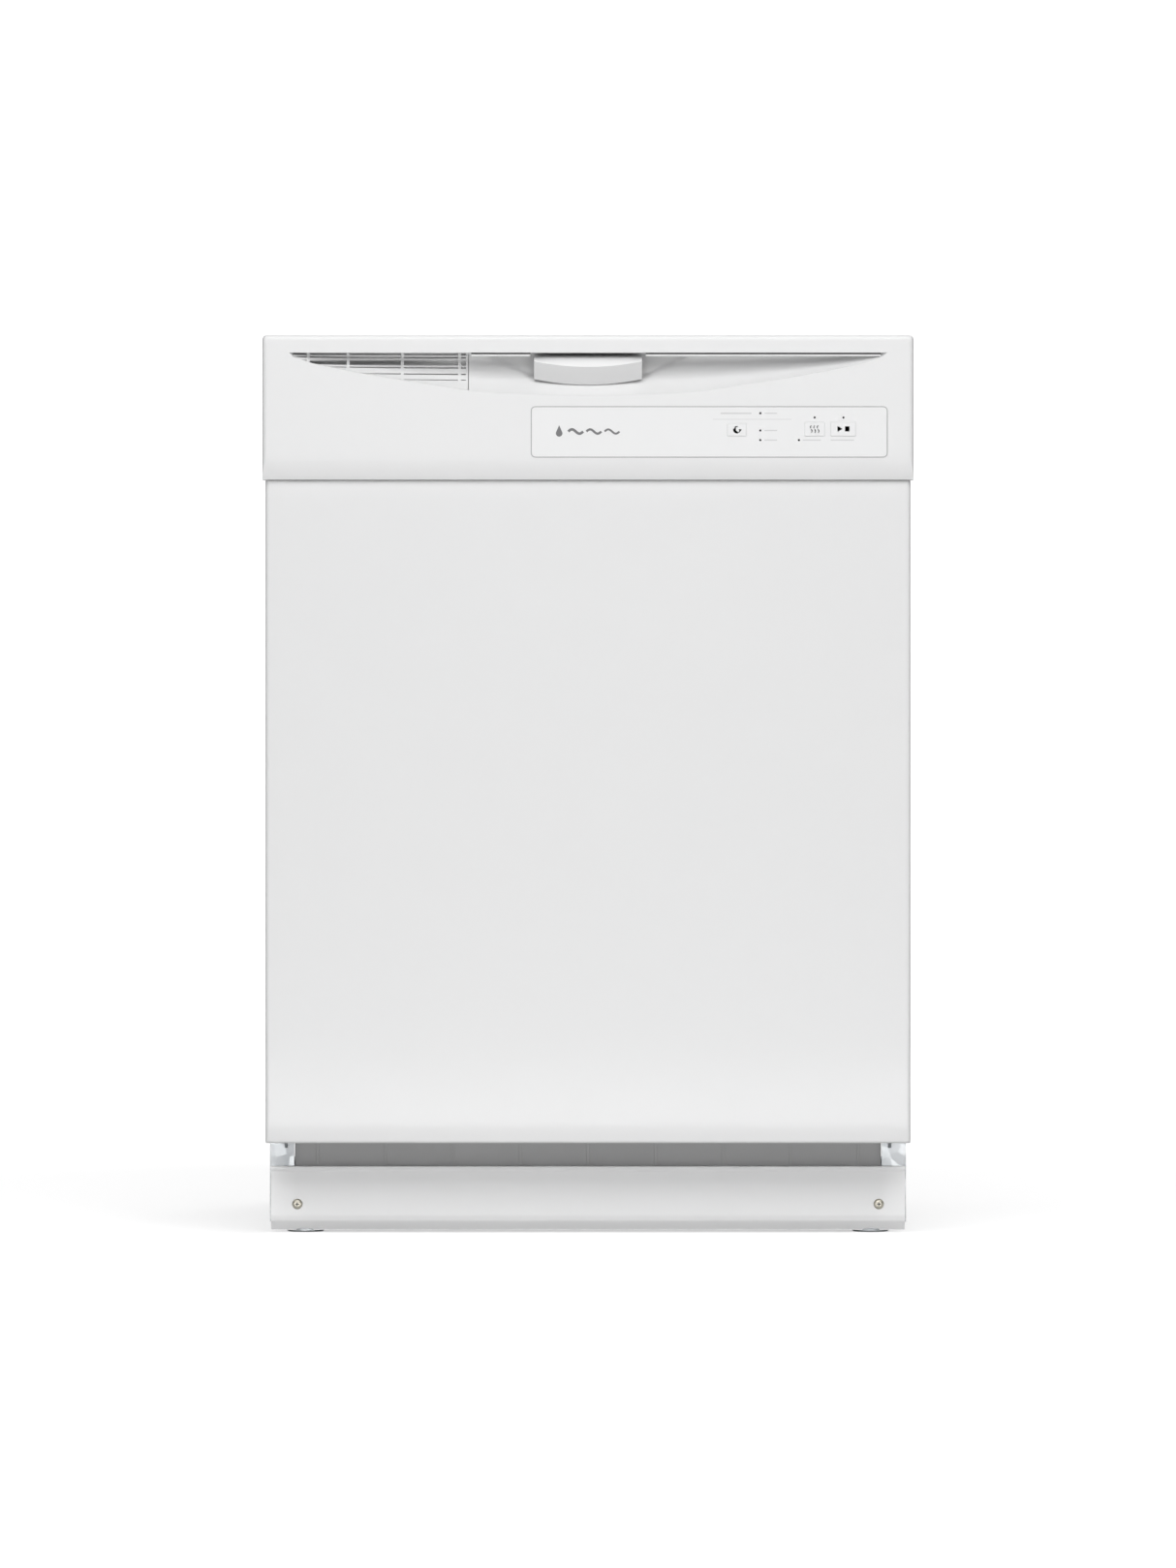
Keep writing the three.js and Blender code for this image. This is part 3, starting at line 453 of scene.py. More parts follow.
def rounded(points, radius, steps=5, closed=False):
    """The points of a path with its corners rounded."""
    points = [Vector(p) for p in points]
    count = len(points)
    path = [] if closed else [points[0]]
    for i in range(count) if closed else range(1, count - 1):
        corner = points[i]
        before = points[i - 1] - corner
        after = points[(i + 1) % count] - corner
        reach = min(radius, before.length * 0.45, after.length * 0.45)
        entry = corner + before.normalized() * reach
        leave = corner + after.normalized() * reach
        for k in range(steps + 1):
            t = k / steps
            path.append(entry * (1 - t) ** 2 + corner * 2 * t * (1 - t) + leave * t * t)
    if not closed:
        path.append(points[-1])
    return path


# ---- console: a grid over its face, dented by the grip pocket ---------------------------------------
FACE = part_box("console")[0].y
LIP = 828.2 * MM
LIP_RISE = 19.0 * MM
LIP_TUCK = 6.0 * MM
LIP_CURVE = 1.5
POCKET_HALF = 280 * MM
LOWER_EDGE = [(0, 787.7), (54, 789.2), (104, 791.9), (150, 798.7), (202, 807), (254, 817.3), (280, 825.6)]
GRILLE = (-276 * MM, -112 * MM)
HANDLE_HALF = 52 * MM
POCKET_DEPTH = 24.6 * MM
SCOOP_DEPTH = 24.0 * MM
WELL_LOW = 806.0 * MM


def pocket_low(x):
    """Height of the pocket's lower edge, by a smooth curve through its few given points."""
    x = min(abs(x) / MM, 279.9)
    for i in range(len(LOWER_EDGE) - 1):
        (x0, z0), (x1, z1) = LOWER_EDGE[i], LOWER_EDGE[i + 1]
        if x <= x1:
            before = LOWER_EDGE[i - 1] if i else (-x1, z1)
            after = LOWER_EDGE[min(i + 2, len(LOWER_EDGE) - 1)]
            slope0 = (z1 - before[1]) / (x1 - before[0])
            slope1 = (after[1] - z0) / (after[0] - x0)
            t = (x - x0) / (x1 - x0)
            wide = x1 - x0
            h1 = 2 * t ** 3 - 3 * t ** 2 + 1
            h2 = t ** 3 - 2 * t ** 2 + t
            h3 = -2 * t ** 3 + 3 * t ** 2
            h4 = t ** 3 - t ** 2
            return (h1 * z0 + h2 * wide * slope0 + h3 * z1 + h4 * wide * slope1) * MM
    return LIP


def scoop_depth(x, share, z=0.0):
    """How far the scooped surface lies behind the face, share 0 at its lower edge and 1 under the lip."""
    across = max(0.0, 1 - (x / POCKET_HALF) ** 2) ** 0.55
    hollow = math.sin(min(1.0, share * 1.2) * math.pi / 2) ** 0.9
    curl = 1 - 0.12 * max(0.0, (share - 0.8) / 0.2) ** 1.6
    depth = SCOOP_DEPTH * across * hollow * curl
    well = HANDLE_HALF + 3 * MM + max(0.0, z - WELL_LOW) * 1.9
    if z > WELL_LOW and abs(x) < well:
        depth = lerp(depth, POCKET_DEPTH, min(1.0, (well - abs(x)) / (6 * MM)))
    return depth


def rounded_edge(x, z, half, top, radius):
    """Where a point of the face goes when the face's side and top edges are rounded: (x, depth, z)."""
    over_x = max(0.0, abs(x) - (half - radius)) / radius
    over_z = max(0.0, z - (top - radius)) / radius
    reach = math.hypot(over_x, over_z)
    if reach > 1:
        over_x, over_z = over_x / reach, over_z / reach
        x = math.copysign(half - radius + over_x * radius, x)
        z = top - radius + over_z * radius
    return x, radius * (1 - math.sqrt(max(0.0, 1 - min(reach, 1.0) ** 2))), z


def make_console():
    low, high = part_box("console")
    half, radius = high.x, 4.6 * MM
    turn = spread(0, math.pi / 2, 7)
    edges = [-half + radius * (1 - math.sin(a)) for a in turn] + [-half + 12 * MM, -POCKET_HALF - 4 * MM]
    inner = spread(-POCKET_HALF, POCKET_HALF, 141)
    inner = [x for x in inner if min(abs(x - g) for g in GRILLE) > 1.5 * MM]
    steps = [g + side for g in GRILLE for side in (-0.3 * MM, 0.3 * MM)]
    columns = sorted(edges + inner + steps + [-x for x in edges])
    below = [0.1, 0.25, 0.45, 0.65, 0.82, 0.93]
    inside = [0, 0.02, 0.05, 0.1, 0.16] + spread(0.22, 1.0, 17)
    bm = bmesh.new()
    grid = []
    for x in columns:
        hollow = abs(x) < POCKET_HALF
        edge = pocket_low(x) if hollow else LIP
        line = [(low.z + LIP_RISE * t, LIP_TUCK * (1 - t) ** LIP_CURVE) for t in spread(0, 1, 13)]
        line += [(lerp(low.z + LIP_RISE, edge, t), 0.0) for t in below]
        for t in inside:
            depth = scoop_depth(x, t, lerp(edge, LIP, t)) if hollow else 0.0
            if hollow and GRILLE[0] < x < GRILLE[1]:
                depth = min(POCKET_DEPTH, 3 * (LIP - edge)) if t > 0 else 0.0
            line.append((lerp(edge, LIP, t), depth))
        roof = line[-1][1]
        line += [(LIP + 0.02 * MM, roof * s) for s in (0.66, 0.33, 0.0)]
        line += [(LIP + 4 * MM, 0.0), (LIP + 9 * MM, 0.0)]
        line += [(high.z - radius * (1 - math.sin(a)), 0.0) for a in turn]
        column = []
        for z, depth in line:
            px, back, pz = rounded_edge(x, z, half, high.z, radius)
            column.append(bm.verts.new((px, FACE + max(depth, back), pz)))
        grid.append(column)
    for left, right in zip(grid, grid[1:]):
        for i in range(len(left) - 1):
            bm.faces.new((left[i], right[i], right[i + 1], left[i + 1]))
    bmesh.ops.remove_doubles(bm, verts=bm.verts, dist=2e-6)
    rim = [e for e in bm.edges if e.is_boundary]
    walls = bmesh.ops.extrude_edge_only(bm, edges=rim)["geom"]
    for vert in (v for v in walls if isinstance(v, bmesh.types.BMVert)):
        vert.co.y = -262 * MM if vert.co.z > high.z - MM else -276 * MM
        if vert.co.z < low.z + MM:
            vert.co.y = -294 * MM
    piece = from_bmesh("console.shell", bm, 50)
    wall = piece.modifiers.new("wall", "SOLIDIFY")
    wall.thickness = 2.2 * MM
    wall.offset = -1
    return settle(piece, "door", "console_white", ["console"])


def make_grille():
    """Louvres that follow the scooped surface, with dark gaps between them and ribs across."""
    gaps = [(826.6, 828.2), (823.9, 825.1), (817.2, 821.9), (814.3, 815.5), (808.1, 809.3), (802.6, 803.5)]
    ribs = [(x - 1.4, x + 1.4) for x in (-262, -224.8, -174, -120.5)]
    end = [(-114.5, -112.4)]
    levels = sorted({z for gap in gaps for z in gap} | {790, 794, 798, 800.5, 806, 811.8, 816.3})
    across = sorted({x for rib in ribs + end for x in rib} | {-276.0 + 4 * i for i in range(41)})
    bm = bmesh.new()

    def vertex(x, z):
        floor = pocket_low(x * MM) + 0.2 * MM
        height = max(z * MM, min(floor, LIP))
        share = (height - floor) / max(LIP - floor, 1e-6)
        return bm.verts.new((x * MM, FACE + scoop_depth(x * MM, max(share, 0)) + 0.3 * MM, height))

    grid = [[vertex(x, z) for z in levels] for x in across]
    for i in range(len(across) - 1):
        middle_x = (across[i] + across[i + 1]) / 2
        solid_column = any(a < middle_x < b for a, b in ribs + end)
        for k in range(len(levels) - 1):
            middle_z = (levels[k] + levels[k + 1]) / 2
            if solid_column or not any(a < middle_z < b for a, b in gaps):
                bm.faces.new((grid[i][k], grid[i + 1][k], grid[i + 1][k + 1], grid[i][k + 1]))
    bmesh.ops.dissolve_degenerate(bm, dist=2e-6, edges=bm.edges)
    bmesh.ops.delete(bm, geom=[v for v in bm.verts if not v.link_faces], context="VERTS")
    piece = from_bmesh("vent_grille.louvres", bm, 40)
    blade = piece.modifiers.new("blade", "SOLIDIFY")
    blade.thickness = 2.0 * MM
    blade.offset = -1
    return settle(piece, "door", "console_white", ["vent_grille"])


def make_handle():
    """The latch handle: an upper face down to a curved ridge, a lower face that turns back under it."""
    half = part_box("latch_handle")[1].x
    bm = bmesh.new()
    sections = []
    for x in spread(-half, half, 25):
        sag = 5.4 * (1 - (x / half) ** 2)
        ridge = 820.3 - sag
        bottom = 804.0 - sag
        outline = [(-296, 826.2), (-303.6, 826.1), (-308.6, 824.5), (-310.2, 823.8), (-314.2, ridge + 0.8), (-314.5, ridge),
                   (-314.1, ridge - 0.8), (-306.8, bottom + 0.8), (-306, bottom), (-303.8, bottom),
                   (-303.2, bottom + 0.7), (-303.8, bottom + 8), (-296, 819)]
        sections.append([bm.verts.new((x, y * MM, z * MM)) for y, z in outline])
    for left, right in zip(sections, sections[1:]):
        for i in range(len(left)):
            j = (i + 1) % len(left)
            bm.faces.new((left[i], left[j], right[j], right[i]))
    bm.faces.new(sections[0][::-1])
    bm.faces.new(sections[-1])
    piece = bevelled(from_bmesh("latch_handle.grip", bm, 25), 0.35 * MM)
    # The handle takes the greyer copy of the console white: painted shade.
    return settle(piece, "handle", "handle_white_painted_shade", ["latch_handle"])


def make_pocket_ledges():
    """A thin ledge under the pocket's lip on each side of the handle, with a near-black strip above it as painted
    shadow of the lip.
    """
    left, right = (GRILLE[1] / MM + 2.6, -HANDLE_HALF / MM - 2), (HANDLE_HALF / MM + 2, 274)
    ledge = [((a * MM, FACE + 0.9 * MM, 824.9 * MM), (b * MM, FACE + 9 * MM, 826.5 * MM)) for a, b in (left, right)]
    boxes("pocket_ledges", ledge, "door", "console_white", 0.5 * MM)
    # A near-black strip in the slot under the lip: painted shadow, standing where only the lip's shade falls.
    lip_shadow_strips = [((a * MM, FACE + 1.6 * MM, 826.5 * MM), (b * MM, FACE + 6 * MM, 828.15 * MM)) for a, b in (left, right)]
    boxes("pocket_lip_painted_shadow", lip_shadow_strips, "door", "painted_lip_shadow", 0.2 * MM)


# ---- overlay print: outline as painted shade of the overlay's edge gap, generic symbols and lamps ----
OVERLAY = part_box("console_fascia")
PRINT_Y = FACE - 0.16 * MM
KEY_NODES = {"cycle_button": "cycle_key", "heat_dry_button": "heat_dry_key", "start_cancel_button": "start_key"}


def flat_outline(x0, x1, z0, z1, radius, steps=6):
    corners = [(x1, z0), (x1, z1), (x0, z1), (x0, z0)]
    points = rounded([Vector((x, 0, z)) for x, z in corners], radius, steps, closed=True)
    return [(p.x, p.z) for p in points]


def printed(name, outlines, y, body, surface):
    """Flat ink shapes on a face that looks towards -Y; outlines are lists of (x, z)."""
    bm = bmesh.new()
    for outline in outlines:
        verts = [bm.verts.new((x, y, z)) for x, z in outline]
        face = bm.faces.new(verts)
        bmesh.ops.triangulate(bm, faces=[face])
    piece = from_bmesh(name, bm)
    film = piece.modifiers.new("film", "SOLIDIFY")
    film.thickness = 0.04 * MM
    film.offset = 0
    return settle(piece, body, surface)


def stroke(points, width):
    """The outline of a thin stroke through (x, z) points."""
    path = [Vector(p) for p in points]
    left, right = [], []
    for i, place in enumerate(path):
        before = path[max(i - 1, 0)]
        after = path[min(i + 1, len(path) - 1)]
        side = (after - before).normalized()
        side = Vector((-side.y, side.x)) * width / 2
        left.append(place + side)
        right.append(place - side)
    return [tuple(p) for p in left + right[::-1]]


def arc(x, z, radius, start, end, steps=18):
    turns = [math.radians(a) for a in spread(start, end, steps)]
    return [(x + radius * math.cos(a), z + radius * math.sin(a)) for a in turns]


def bar(x0, x1, z, height):
    return flat_outline(x0 * MM, x1 * MM, (z - height / 2) * MM, (z + height / 2) * MM, height * 0.49 * MM, 3)


def centre_of(node):
    low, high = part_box(node)
    return (low.x + high.x) / 2, (low.z + high.z) / 2, low.y


def make_print():
    y = PRINT_Y - 0.03 * MM
    low, high = OVERLAY
    border = flat_outline(low.x, high.x, low.z, high.z, 4.4 * MM)
    # A grey ring round the overlay: painted shade of the recess gap at its edge.
    wires("overlay_gap_shade_line", [[(x, PRINT_Y + 0.2 * MM, z) for x, z in border]], 0.5 * MM, "door", "gap_shade_grey",
          closed=True)

    drop = arc(-27 * MM, 752.6 * MM, 3.1 * MM, -208, 28) + [(-27 * MM, 760.2 * MM)]
    waves = []
    for k, start in enumerate((-18.5, -1.5, 15.5)):
        points = [((start + 14 * t) * MM, (754.3 + 2.0 * math.sin(2 * math.pi * t)) * MM) for t in spread(0, 1, 15)]
        waves.append(stroke(points, (2.5 - 0.3 * k) * MM))
    printed("generic_mark", [drop] + waves, y, "door", "ink_grey")

    labels = [bar(124, 153, 771.4, 1.5), bar(165, 177, 771.4, 1.1), bar(165, 177, 755.3, 1.1),
              bar(165, 177, 746.3, 1.1), bar(201, 218, 746.3, 1.0), bar(227, 249, 746.3, 1.0)]
    rule = bar(117, 190.5, 765.7, 0.5)
    printed("overlay_labels", labels + [rule], y, "door", "ink_pale")

    lamps = [(161.3, 771.4), (161.3, 755.3), (161.3, 746.3), (212.1, 767.4), (239, 767.4), (197.4, 746.3)]
    profile = disc_profile(1.15 * MM, -0.35 * MM, 0.02 * MM, 0.1 * MM)
    parts = [([(r, -h) for r, h in profile], (x * MM, PRINT_Y, z * MM), "y") for x, z in lamps]
    turned("indicator_lamps", parts, "door", "lamp_lens", steps=20, width=0.05 * MM)


def make_key(node):
    """A key cap with a soft edge, a thin frame line and a generic symbol."""
    body = KEY_NODES[node]
    refined(node, 0.5 * MM, segments=3)
    x, z, y = centre_of(node)
    low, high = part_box(node)
    inset = 0.9 * MM
    border = flat_outline(low.x + inset, high.x - inset, low.z + inset, high.z - inset, 1.2 * MM)
    wires(node + ".frame", [[(a, y + 0.06 * MM, b) for a, b in border]], 0.12 * MM, body, "ink_pale",
          closed=True)
    front = y - 0.02 * MM if y > CAD_BOUNDS[0].y + 0.1 * MM else y + 0.02 * MM
    if node == "cycle_button":
        shapes = [stroke(arc(x, z, 3.1 * MM, 70, 370), 0.75 * MM),
                  [(x + 1.6 * MM, z + 0.4 * MM), (x + 4.7 * MM, z + 0.4 * MM), (x + 3.1 * MM, z - 2.0 * MM)]]
    elif node == "heat_dry_button":
        shapes = []
        for shift in (-3.2, 0, 3.2):
            wave = [(x + (shift + 0.9 * math.sin(2 * math.pi * t)) * MM, z + (7 * t - 3.5) * MM)
                    for t in spread(0, 1, 13)]
            shapes.append(stroke(wave, 0.75 * MM))
    else:
        shapes = [[(x - 5.4 * MM, z - 2.8 * MM), (x - 0.6 * MM, z), (x - 5.4 * MM, z + 2.8 * MM)],
                  [(x + 1.6 * MM, z - 2.4 * MM), (x + 5.8 * MM, z - 2.4 * MM), (x + 5.8 * MM, z + 2.4 * MM),
                   (x + 1.6 * MM, z + 2.4 * MM)]]
    printed(node + ".symbol", shapes, front, body, "ink_grey")


# ---- door and front sheets ---------------------------------------------------------------------------
def bent_sheet(name, profile, half, thickness, body, surface, replaces, bends=1.2 * MM, columns=25, bow=0.0):
    """A sheet bent along X: profile holds its (y, z) section; bow lifts the middle forward a little."""
    path = rounded([Vector((0, y, z)) for y, z in profile], bends, 4)
    bm = bmesh.new()
    grid = []
    for x in spread(-half, half, columns):
        rise = bow * (1 - (x / half) ** 2)
        grid.append([bm.verts.new((x, p.y - rise, p.z)) for p in path])
    for left, right in zip(grid, grid[1:]):
        for i in range(len(path) - 1):
            bm.faces.new((left[i], right[i], right[i + 1], left[i + 1]))
    piece = from_bmesh(name, bm, 50)
    wall = piece.modifiers.new("sheet", "SOLIDIFY")
    wall.thickness = thickness
    wall.offset = -1
    return settle(piece, body, surface, replaces)


def make_door_panel():
    """A shallow pan of enamelled sheet: rounded long edges, a hemmed foot and a returned top."""
    low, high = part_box("door_outer_panel")
    columns = rounded([(low.x, high.y, 0), (low.x, low.y, 0), (high.x, low.y, 0), (high.x, high.y, 0)],
                      4.5 * MM, 7)
    wide = []
    for a, b in zip(columns, columns[1:]):
        count = max(1, int((b - a).length / (22 * MM)))
        wide += [a.lerp(b, i / count) for i in range(count)]
    wide.append(columns[-1])
    roll = 2.2 * MM
    top_roll = 0.7 * MM
    levels = [(low.z + roll * (1 - math.cos(a)), roll * (1 - math.sin(a))) for a in spread(0, math.pi / 2, 5)]
    levels += [(lerp(low.z + roll, high.z - top_roll, t), 0.0) for t in spread(0.03, 0.97, 20)]
    levels += [(high.z - top_roll * (1 - math.sin(a)), top_roll * (1 - math.cos(a)))
               for a in spread(0, math.pi / 2, 5)]
    bm = bmesh.new()
    grid = []
    for place in wide:
        line = []
        for z, back in levels:
            y = min(place.y + back, high.y)
            x = place.x * (1 - 0.35 * back / high.x) if abs(place.x) > high.x - 5 * MM else place.x
            line.append(bm.verts.new((x, y, z)))
        grid.append(line)
    for left, right in zip(grid, grid[1:]):
        for i in range(len(levels) - 1):
            bm.faces.new((left[i], right[i], right[i + 1], left[i + 1]))
    for row, depth in ((0, 20 * MM), (-1, 10 * MM)):
        front = [line[row] for line in grid if line[row].co.y < low.y + depth]
        back = [bm.verts.new((v.co.x * 0.998, low.y + depth, v.co.z)) for v in front]
        for i in range(len(front) - 1):
            bm.faces.new((front[i], front[i + 1], back[i + 1], back[i]))
    piece = from_bmesh("door_outer_panel.skin", bm, 60)
    wall = piece.modifiers.new("sheet", "SOLIDIFY")
    wall.thickness = 0.9 * MM
    wall.offset = -1
    settle(piece, "door", "white_enamel", ["door_outer_panel"])


def make_kick_plate():
    low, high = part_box("kick_plate")
    face = low.y + 2 * MM
    profile = [(face + 9 * MM, low.z), (face + 9 * MM, low.z + 0.6 * MM), (face + 1.6 * MM, low.z + 9 * MM),
               (face, low.z + 14 * MM), (face, high.z - 5 * MM), (low.y + 0.3 * MM, high.z - 3.6 * MM),
               (low.y + 0.3 * MM, high.z - 0.2 * MM), (face + 10.5 * MM, high.z - 0.2 * MM)]
    # The kick plate takes the lighter copy of the white enamel: painted light.
    bent_sheet("kick_plate.sheet", profile, high.x, 0.9 * MM, "base", "kick_enamel_painted_light", ["kick_plate"], 1.4 * MM)
    for side in ("left", "right"):
        x, z, y = centre_of(side + "_kick_screw")
        head = [(4.9, 0), (4.9, 0.5), (4.3, 1.3), (3.0, 1.95), (2.2, 2.05)]
        parts = [([(r * MM, -h * MM) for r, h in head], (x, face - 0.3 * MM, z), "y"),
                 (disc_profile(2.1 * MM, 0.4 * MM, 10.5 * MM, 0.4 * MM), (x, face, z), "y")]
        turned(side + "_kick_screw.head", parts, "base", "zinc_steel", [side + "_kick_screw"], 28, 0.1 * MM)
        recess = [((x - 1.8 * MM, y - 0.06 * MM, z - 0.45 * MM), (x + 1.8 * MM, y + 0.4 * MM, z + 0.45 * MM)),
                  ((x - 0.45 * MM, y - 0.08 * MM, z - 1.8 * MM), (x + 0.45 * MM, y + 0.3 * MM, z + 1.8 * MM))]
        boxes(side + "_kick_screw.recess", recess, "base", "black_plastic", 0.05 * MM)


# ---- turned and wired details ------------------------------------------------------------------------
def ring_mesh(bm, profile, centre, axis, steps=32):
    """Adds a turned ring: profile is a closed loop of (radius, height) points."""
    rings = []
    for i in range(steps):
        turn = 2 * math.pi * i / steps
        ring = [bm.verts.new(AXES[axis] @ Vector((r * math.cos(turn), r * math.sin(turn), h)) + Vector(centre))
                for r, h in profile]
        rings.append(ring)
    for i in range(steps):
        near, far = rings[i], rings[(i + 1) % steps]
        for k in range(len(profile)):
            j = (k + 1) % len(profile)
            bm.faces.new((near[k], near[j], far[j], far[k]))


def make_legs():
    for place in ("front_left", "front_right", "rear_left", "rear_right"):
        node = "leveling_leg_" + place
        low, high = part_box(node)
        centre = ((low.x + high.x) / 2, (low.y + high.y) / 2, 0)
        pad = (high.x - low.x) / 2
        stem = 6 * MM
        profile = [(pad - 1.6 * MM, 0), (pad, 1.2 * MM), (pad, 3.2 * MM), (pad - 2 * MM, 4.2 * MM),
                   (9 * MM, 4.6 * MM), (9 * MM, 9.5 * MM), (stem - 0.8 * MM, 10 * MM)]
        height = 10.5
        while height < 56.5:
            profile += [(stem - 0.9 * MM, height * MM), (stem, (height + 0.85) * MM)]
            height += 1.7
        profile += [(stem - 1 * MM, high.z)]
        turned(node + ".thread", [(profile, centre, "z")], "leg_" + place, "galvanised_steel", [node], 24, 0.1 * MM)


def helix(centre, radius, start, end, turns, steps=14):
    """Points of a coil along Y."""
    count = turns * steps
    points = []
    for i in range(count + 1):
        turn = 2 * math.pi * i / steps
        points.append((centre[0] + radius * math.cos(turn), lerp(start, end, i / count),
                       centre[1] + radius * math.sin(turn)))
    return points


def make_springs():
    for side in ("left", "right"):
        node = side + "_door_spring"
        low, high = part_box(node)
        centre = ((low.x + high.x) / 2, (low.z + high.z) / 2)
        wire = 1.15 * MM
        coil = helix(centre, (high.x - low.x) / 2 - wire, -158 * MM, 58 * MM, 60)
        front = [(centre[0], low.y + 1 * MM, centre[1] + 4 * MM), (centre[0], low.y + 1 * MM, centre[1]),
                 (centre[0], -163 * MM, centre[1]), coil[0]]
        rear = [coil[-1], (centre[0], 63 * MM, centre[1]), (centre[0], high.y - 1 * MM, centre[1]),
                (centre[0], high.y - 1 * MM, centre[1] + 4 * MM)]
        wires(node + ".coil", [rounded(front, 2.5 * MM) + coil + rounded(rear, 2.5 * MM)], wire, "base",
              "spring_steel", [node], 2)


def make_motor():
    low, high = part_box("circulation_motor")
    y, z = (low.y + high.y) / 2, (low.z + high.z) / 2
    start, end = low.x, high.x
    radius = (high.z - low.z) / 2
    profile = [(12 * MM, start), (17.5 * MM, start + 1 * MM), (17.5 * MM, start + 10 * MM),
               (radius - 8 * MM, start + 11 * MM), (radius - 2 * MM, start + 18 * MM)]
    place = start + 20 * MM
    while place < end - 16 * MM:
        profile += [(radius - 1.4 * MM, place), (radius, place + 1 * MM), (radius, place + 3.4 * MM),
                    (radius - 1.4 * MM, place + 4.4 * MM)]
        place += 6 * MM
    profile += [(radius - 2 * MM, end - 12 * MM), (radius - 2 * MM, end - 2 * MM), (radius - 5 * MM, end)]
    turned("circulation_motor.case", [(profile, (0, y, z), "x")], "base", "galvanised_steel",
           ["circulation_motor"], 48, 0.3 * MM)
    bolts = []
    for turn in (45, 135, 225, 315):
        a = math.radians(turn)
        bolts.append((disc_profile(2.4 * MM, -1.6 * MM, 1.0 * MM, 0.4 * MM),
                      (start + 11.5 * MM, y + 20 * MM * math.cos(a), z + 20 * MM * math.sin(a)), "x"))
    turned("circulation_motor.bolts", bolts, "base", "zinc_steel", steps=6, width=0.1 * MM)


def make_pump_details():
    refined("drain_pump", 1.2 * MM)
    low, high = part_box("drain_pump")
    centre = (low.x + high.x) / 2
    y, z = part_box("circulation_motor")[0].y + 32 * MM, 62 * MM
    bm = bmesh.new()
    for x in spread(low.x + 6 * MM, high.x - 6 * MM, 5):
        ring_mesh(bm, [(23.5 * MM, -1.2 * MM), (24 * MM, -1 * MM), (24 * MM, 1 * MM), (23.5 * MM, 1.2 * MM)],
                  (x, y, z), "x", 36)
    for back in (74 * MM, 79 * MM):
        ring_mesh(bm, [(8.6 * MM, -1.2 * MM), (9.0 * MM, 0), (8.6 * MM, 1.2 * MM), (7.5 * MM, 0)],
                  (125 * MM, back, z), "y", 28)
    settle(from_bmesh("drain_pump.ribs", bm), "base", "black_plastic")
    cap = [(disc_profile(15 * MM, -2.0 * MM, 0.5 * MM, 0.8 * MM), (low.x, y, z), "x")]
    turned("drain_pump.cap", cap, "base", "fitting_white", steps=32)
    assert centre > 0


def make_valve():
    refined("inlet_valve", 1.2 * MM)
    low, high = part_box("inlet_valve")
    bm = bmesh.new()
    height = low.z + 1.6 * MM
    while height < low.z + 15 * MM:
        ring_mesh(bm, [(11.4 * MM, height - 0.8 * MM), (12 * MM, height), (11.4 * MM, height + 0.8 * MM),
                       (10.5 * MM, height)], (-232 * MM, -175 * MM, 0), "z", 32)
        height += 2.2 * MM
    settle(from_bmesh("inlet_valve.thread", bm), "base", "fitting_white")
    centre = ((low.x + high.x) / 2, -186 * MM, 68 * MM)
    coil = [(disc_profile(11 * MM, -17 * MM, 17 * MM, 1.5 * MM), (centre[0], low.y + 13 * MM, centre[2]), "z")]
    turned("inlet_valve.solenoid", coil, "base", "black_plastic", steps=32)
    tabs = [((x, low.y - 1.2 * MM, 84 * MM), (x + 1 * MM, low.y + 3 * MM, 88 * MM))
            for x in (centre[0] - 6 * MM, centre[0] + 5 * MM)]
    boxes("inlet_valve.tabs", tabs, "base", "copper_wire", 0.1 * MM)


def make_hose():
    low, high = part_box("fill_hose")
    x, radius = (low.x + high.x) / 2, (high.x - low.x) / 2
    back = high.y - radius
    path = [(x, low.y, 72 * MM), (x, back, 72 * MM), (x, back, high.z)]
    wires("fill_hose.tube", [rounded(path, 60 * MM, 14)], radius, "base", "black_rubber", ["fill_hose"], 5)
    bm = bmesh.new()
    for centre, axis in (((x, low.y + 8 * MM, 72 * MM), "y"), ((x, back, high.z - 8 * MM), "z")):
        ring_mesh(bm, [(radius, -3 * MM), (radius + 0.8 * MM, -3 * MM), (radius + 0.8 * MM, 3 * MM),
                       (radius, 3 * MM)], centre, axis, 28)
    settle(from_bmesh("fill_hose.clamps", bm), "base", "zinc_steel")


def make_junction_box():
    refined("junction_box", 0.7 * MM)
    low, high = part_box("junction_box")
    x, z = (low.x + high.x) / 2, (low.z + high.z) / 2
    screw = [(disc_profile(4 * MM, -1.6 * MM, 0.4 * MM, 0.5 * MM), (x, low.y, high.z - 6 * MM), "y")]
    turned("junction_box.screw", screw, "base", "zinc_steel", steps=6, width=0.2 * MM)
    bm = bmesh.new()
    for radius in (8, 11):
        ring_mesh(bm, [((radius - 0.3) * MM, -0.35 * MM), ((radius + 0.3) * MM, -0.35 * MM),
                       ((radius + 0.3) * MM, 0.2 * MM), ((radius - 0.3) * MM, 0.2 * MM)], (low.x + 3 * MM, -177 * MM, z),
                  "x", 36)
    settle(from_bmesh("junction_box.knockout", bm), "base", "galvanised_steel")


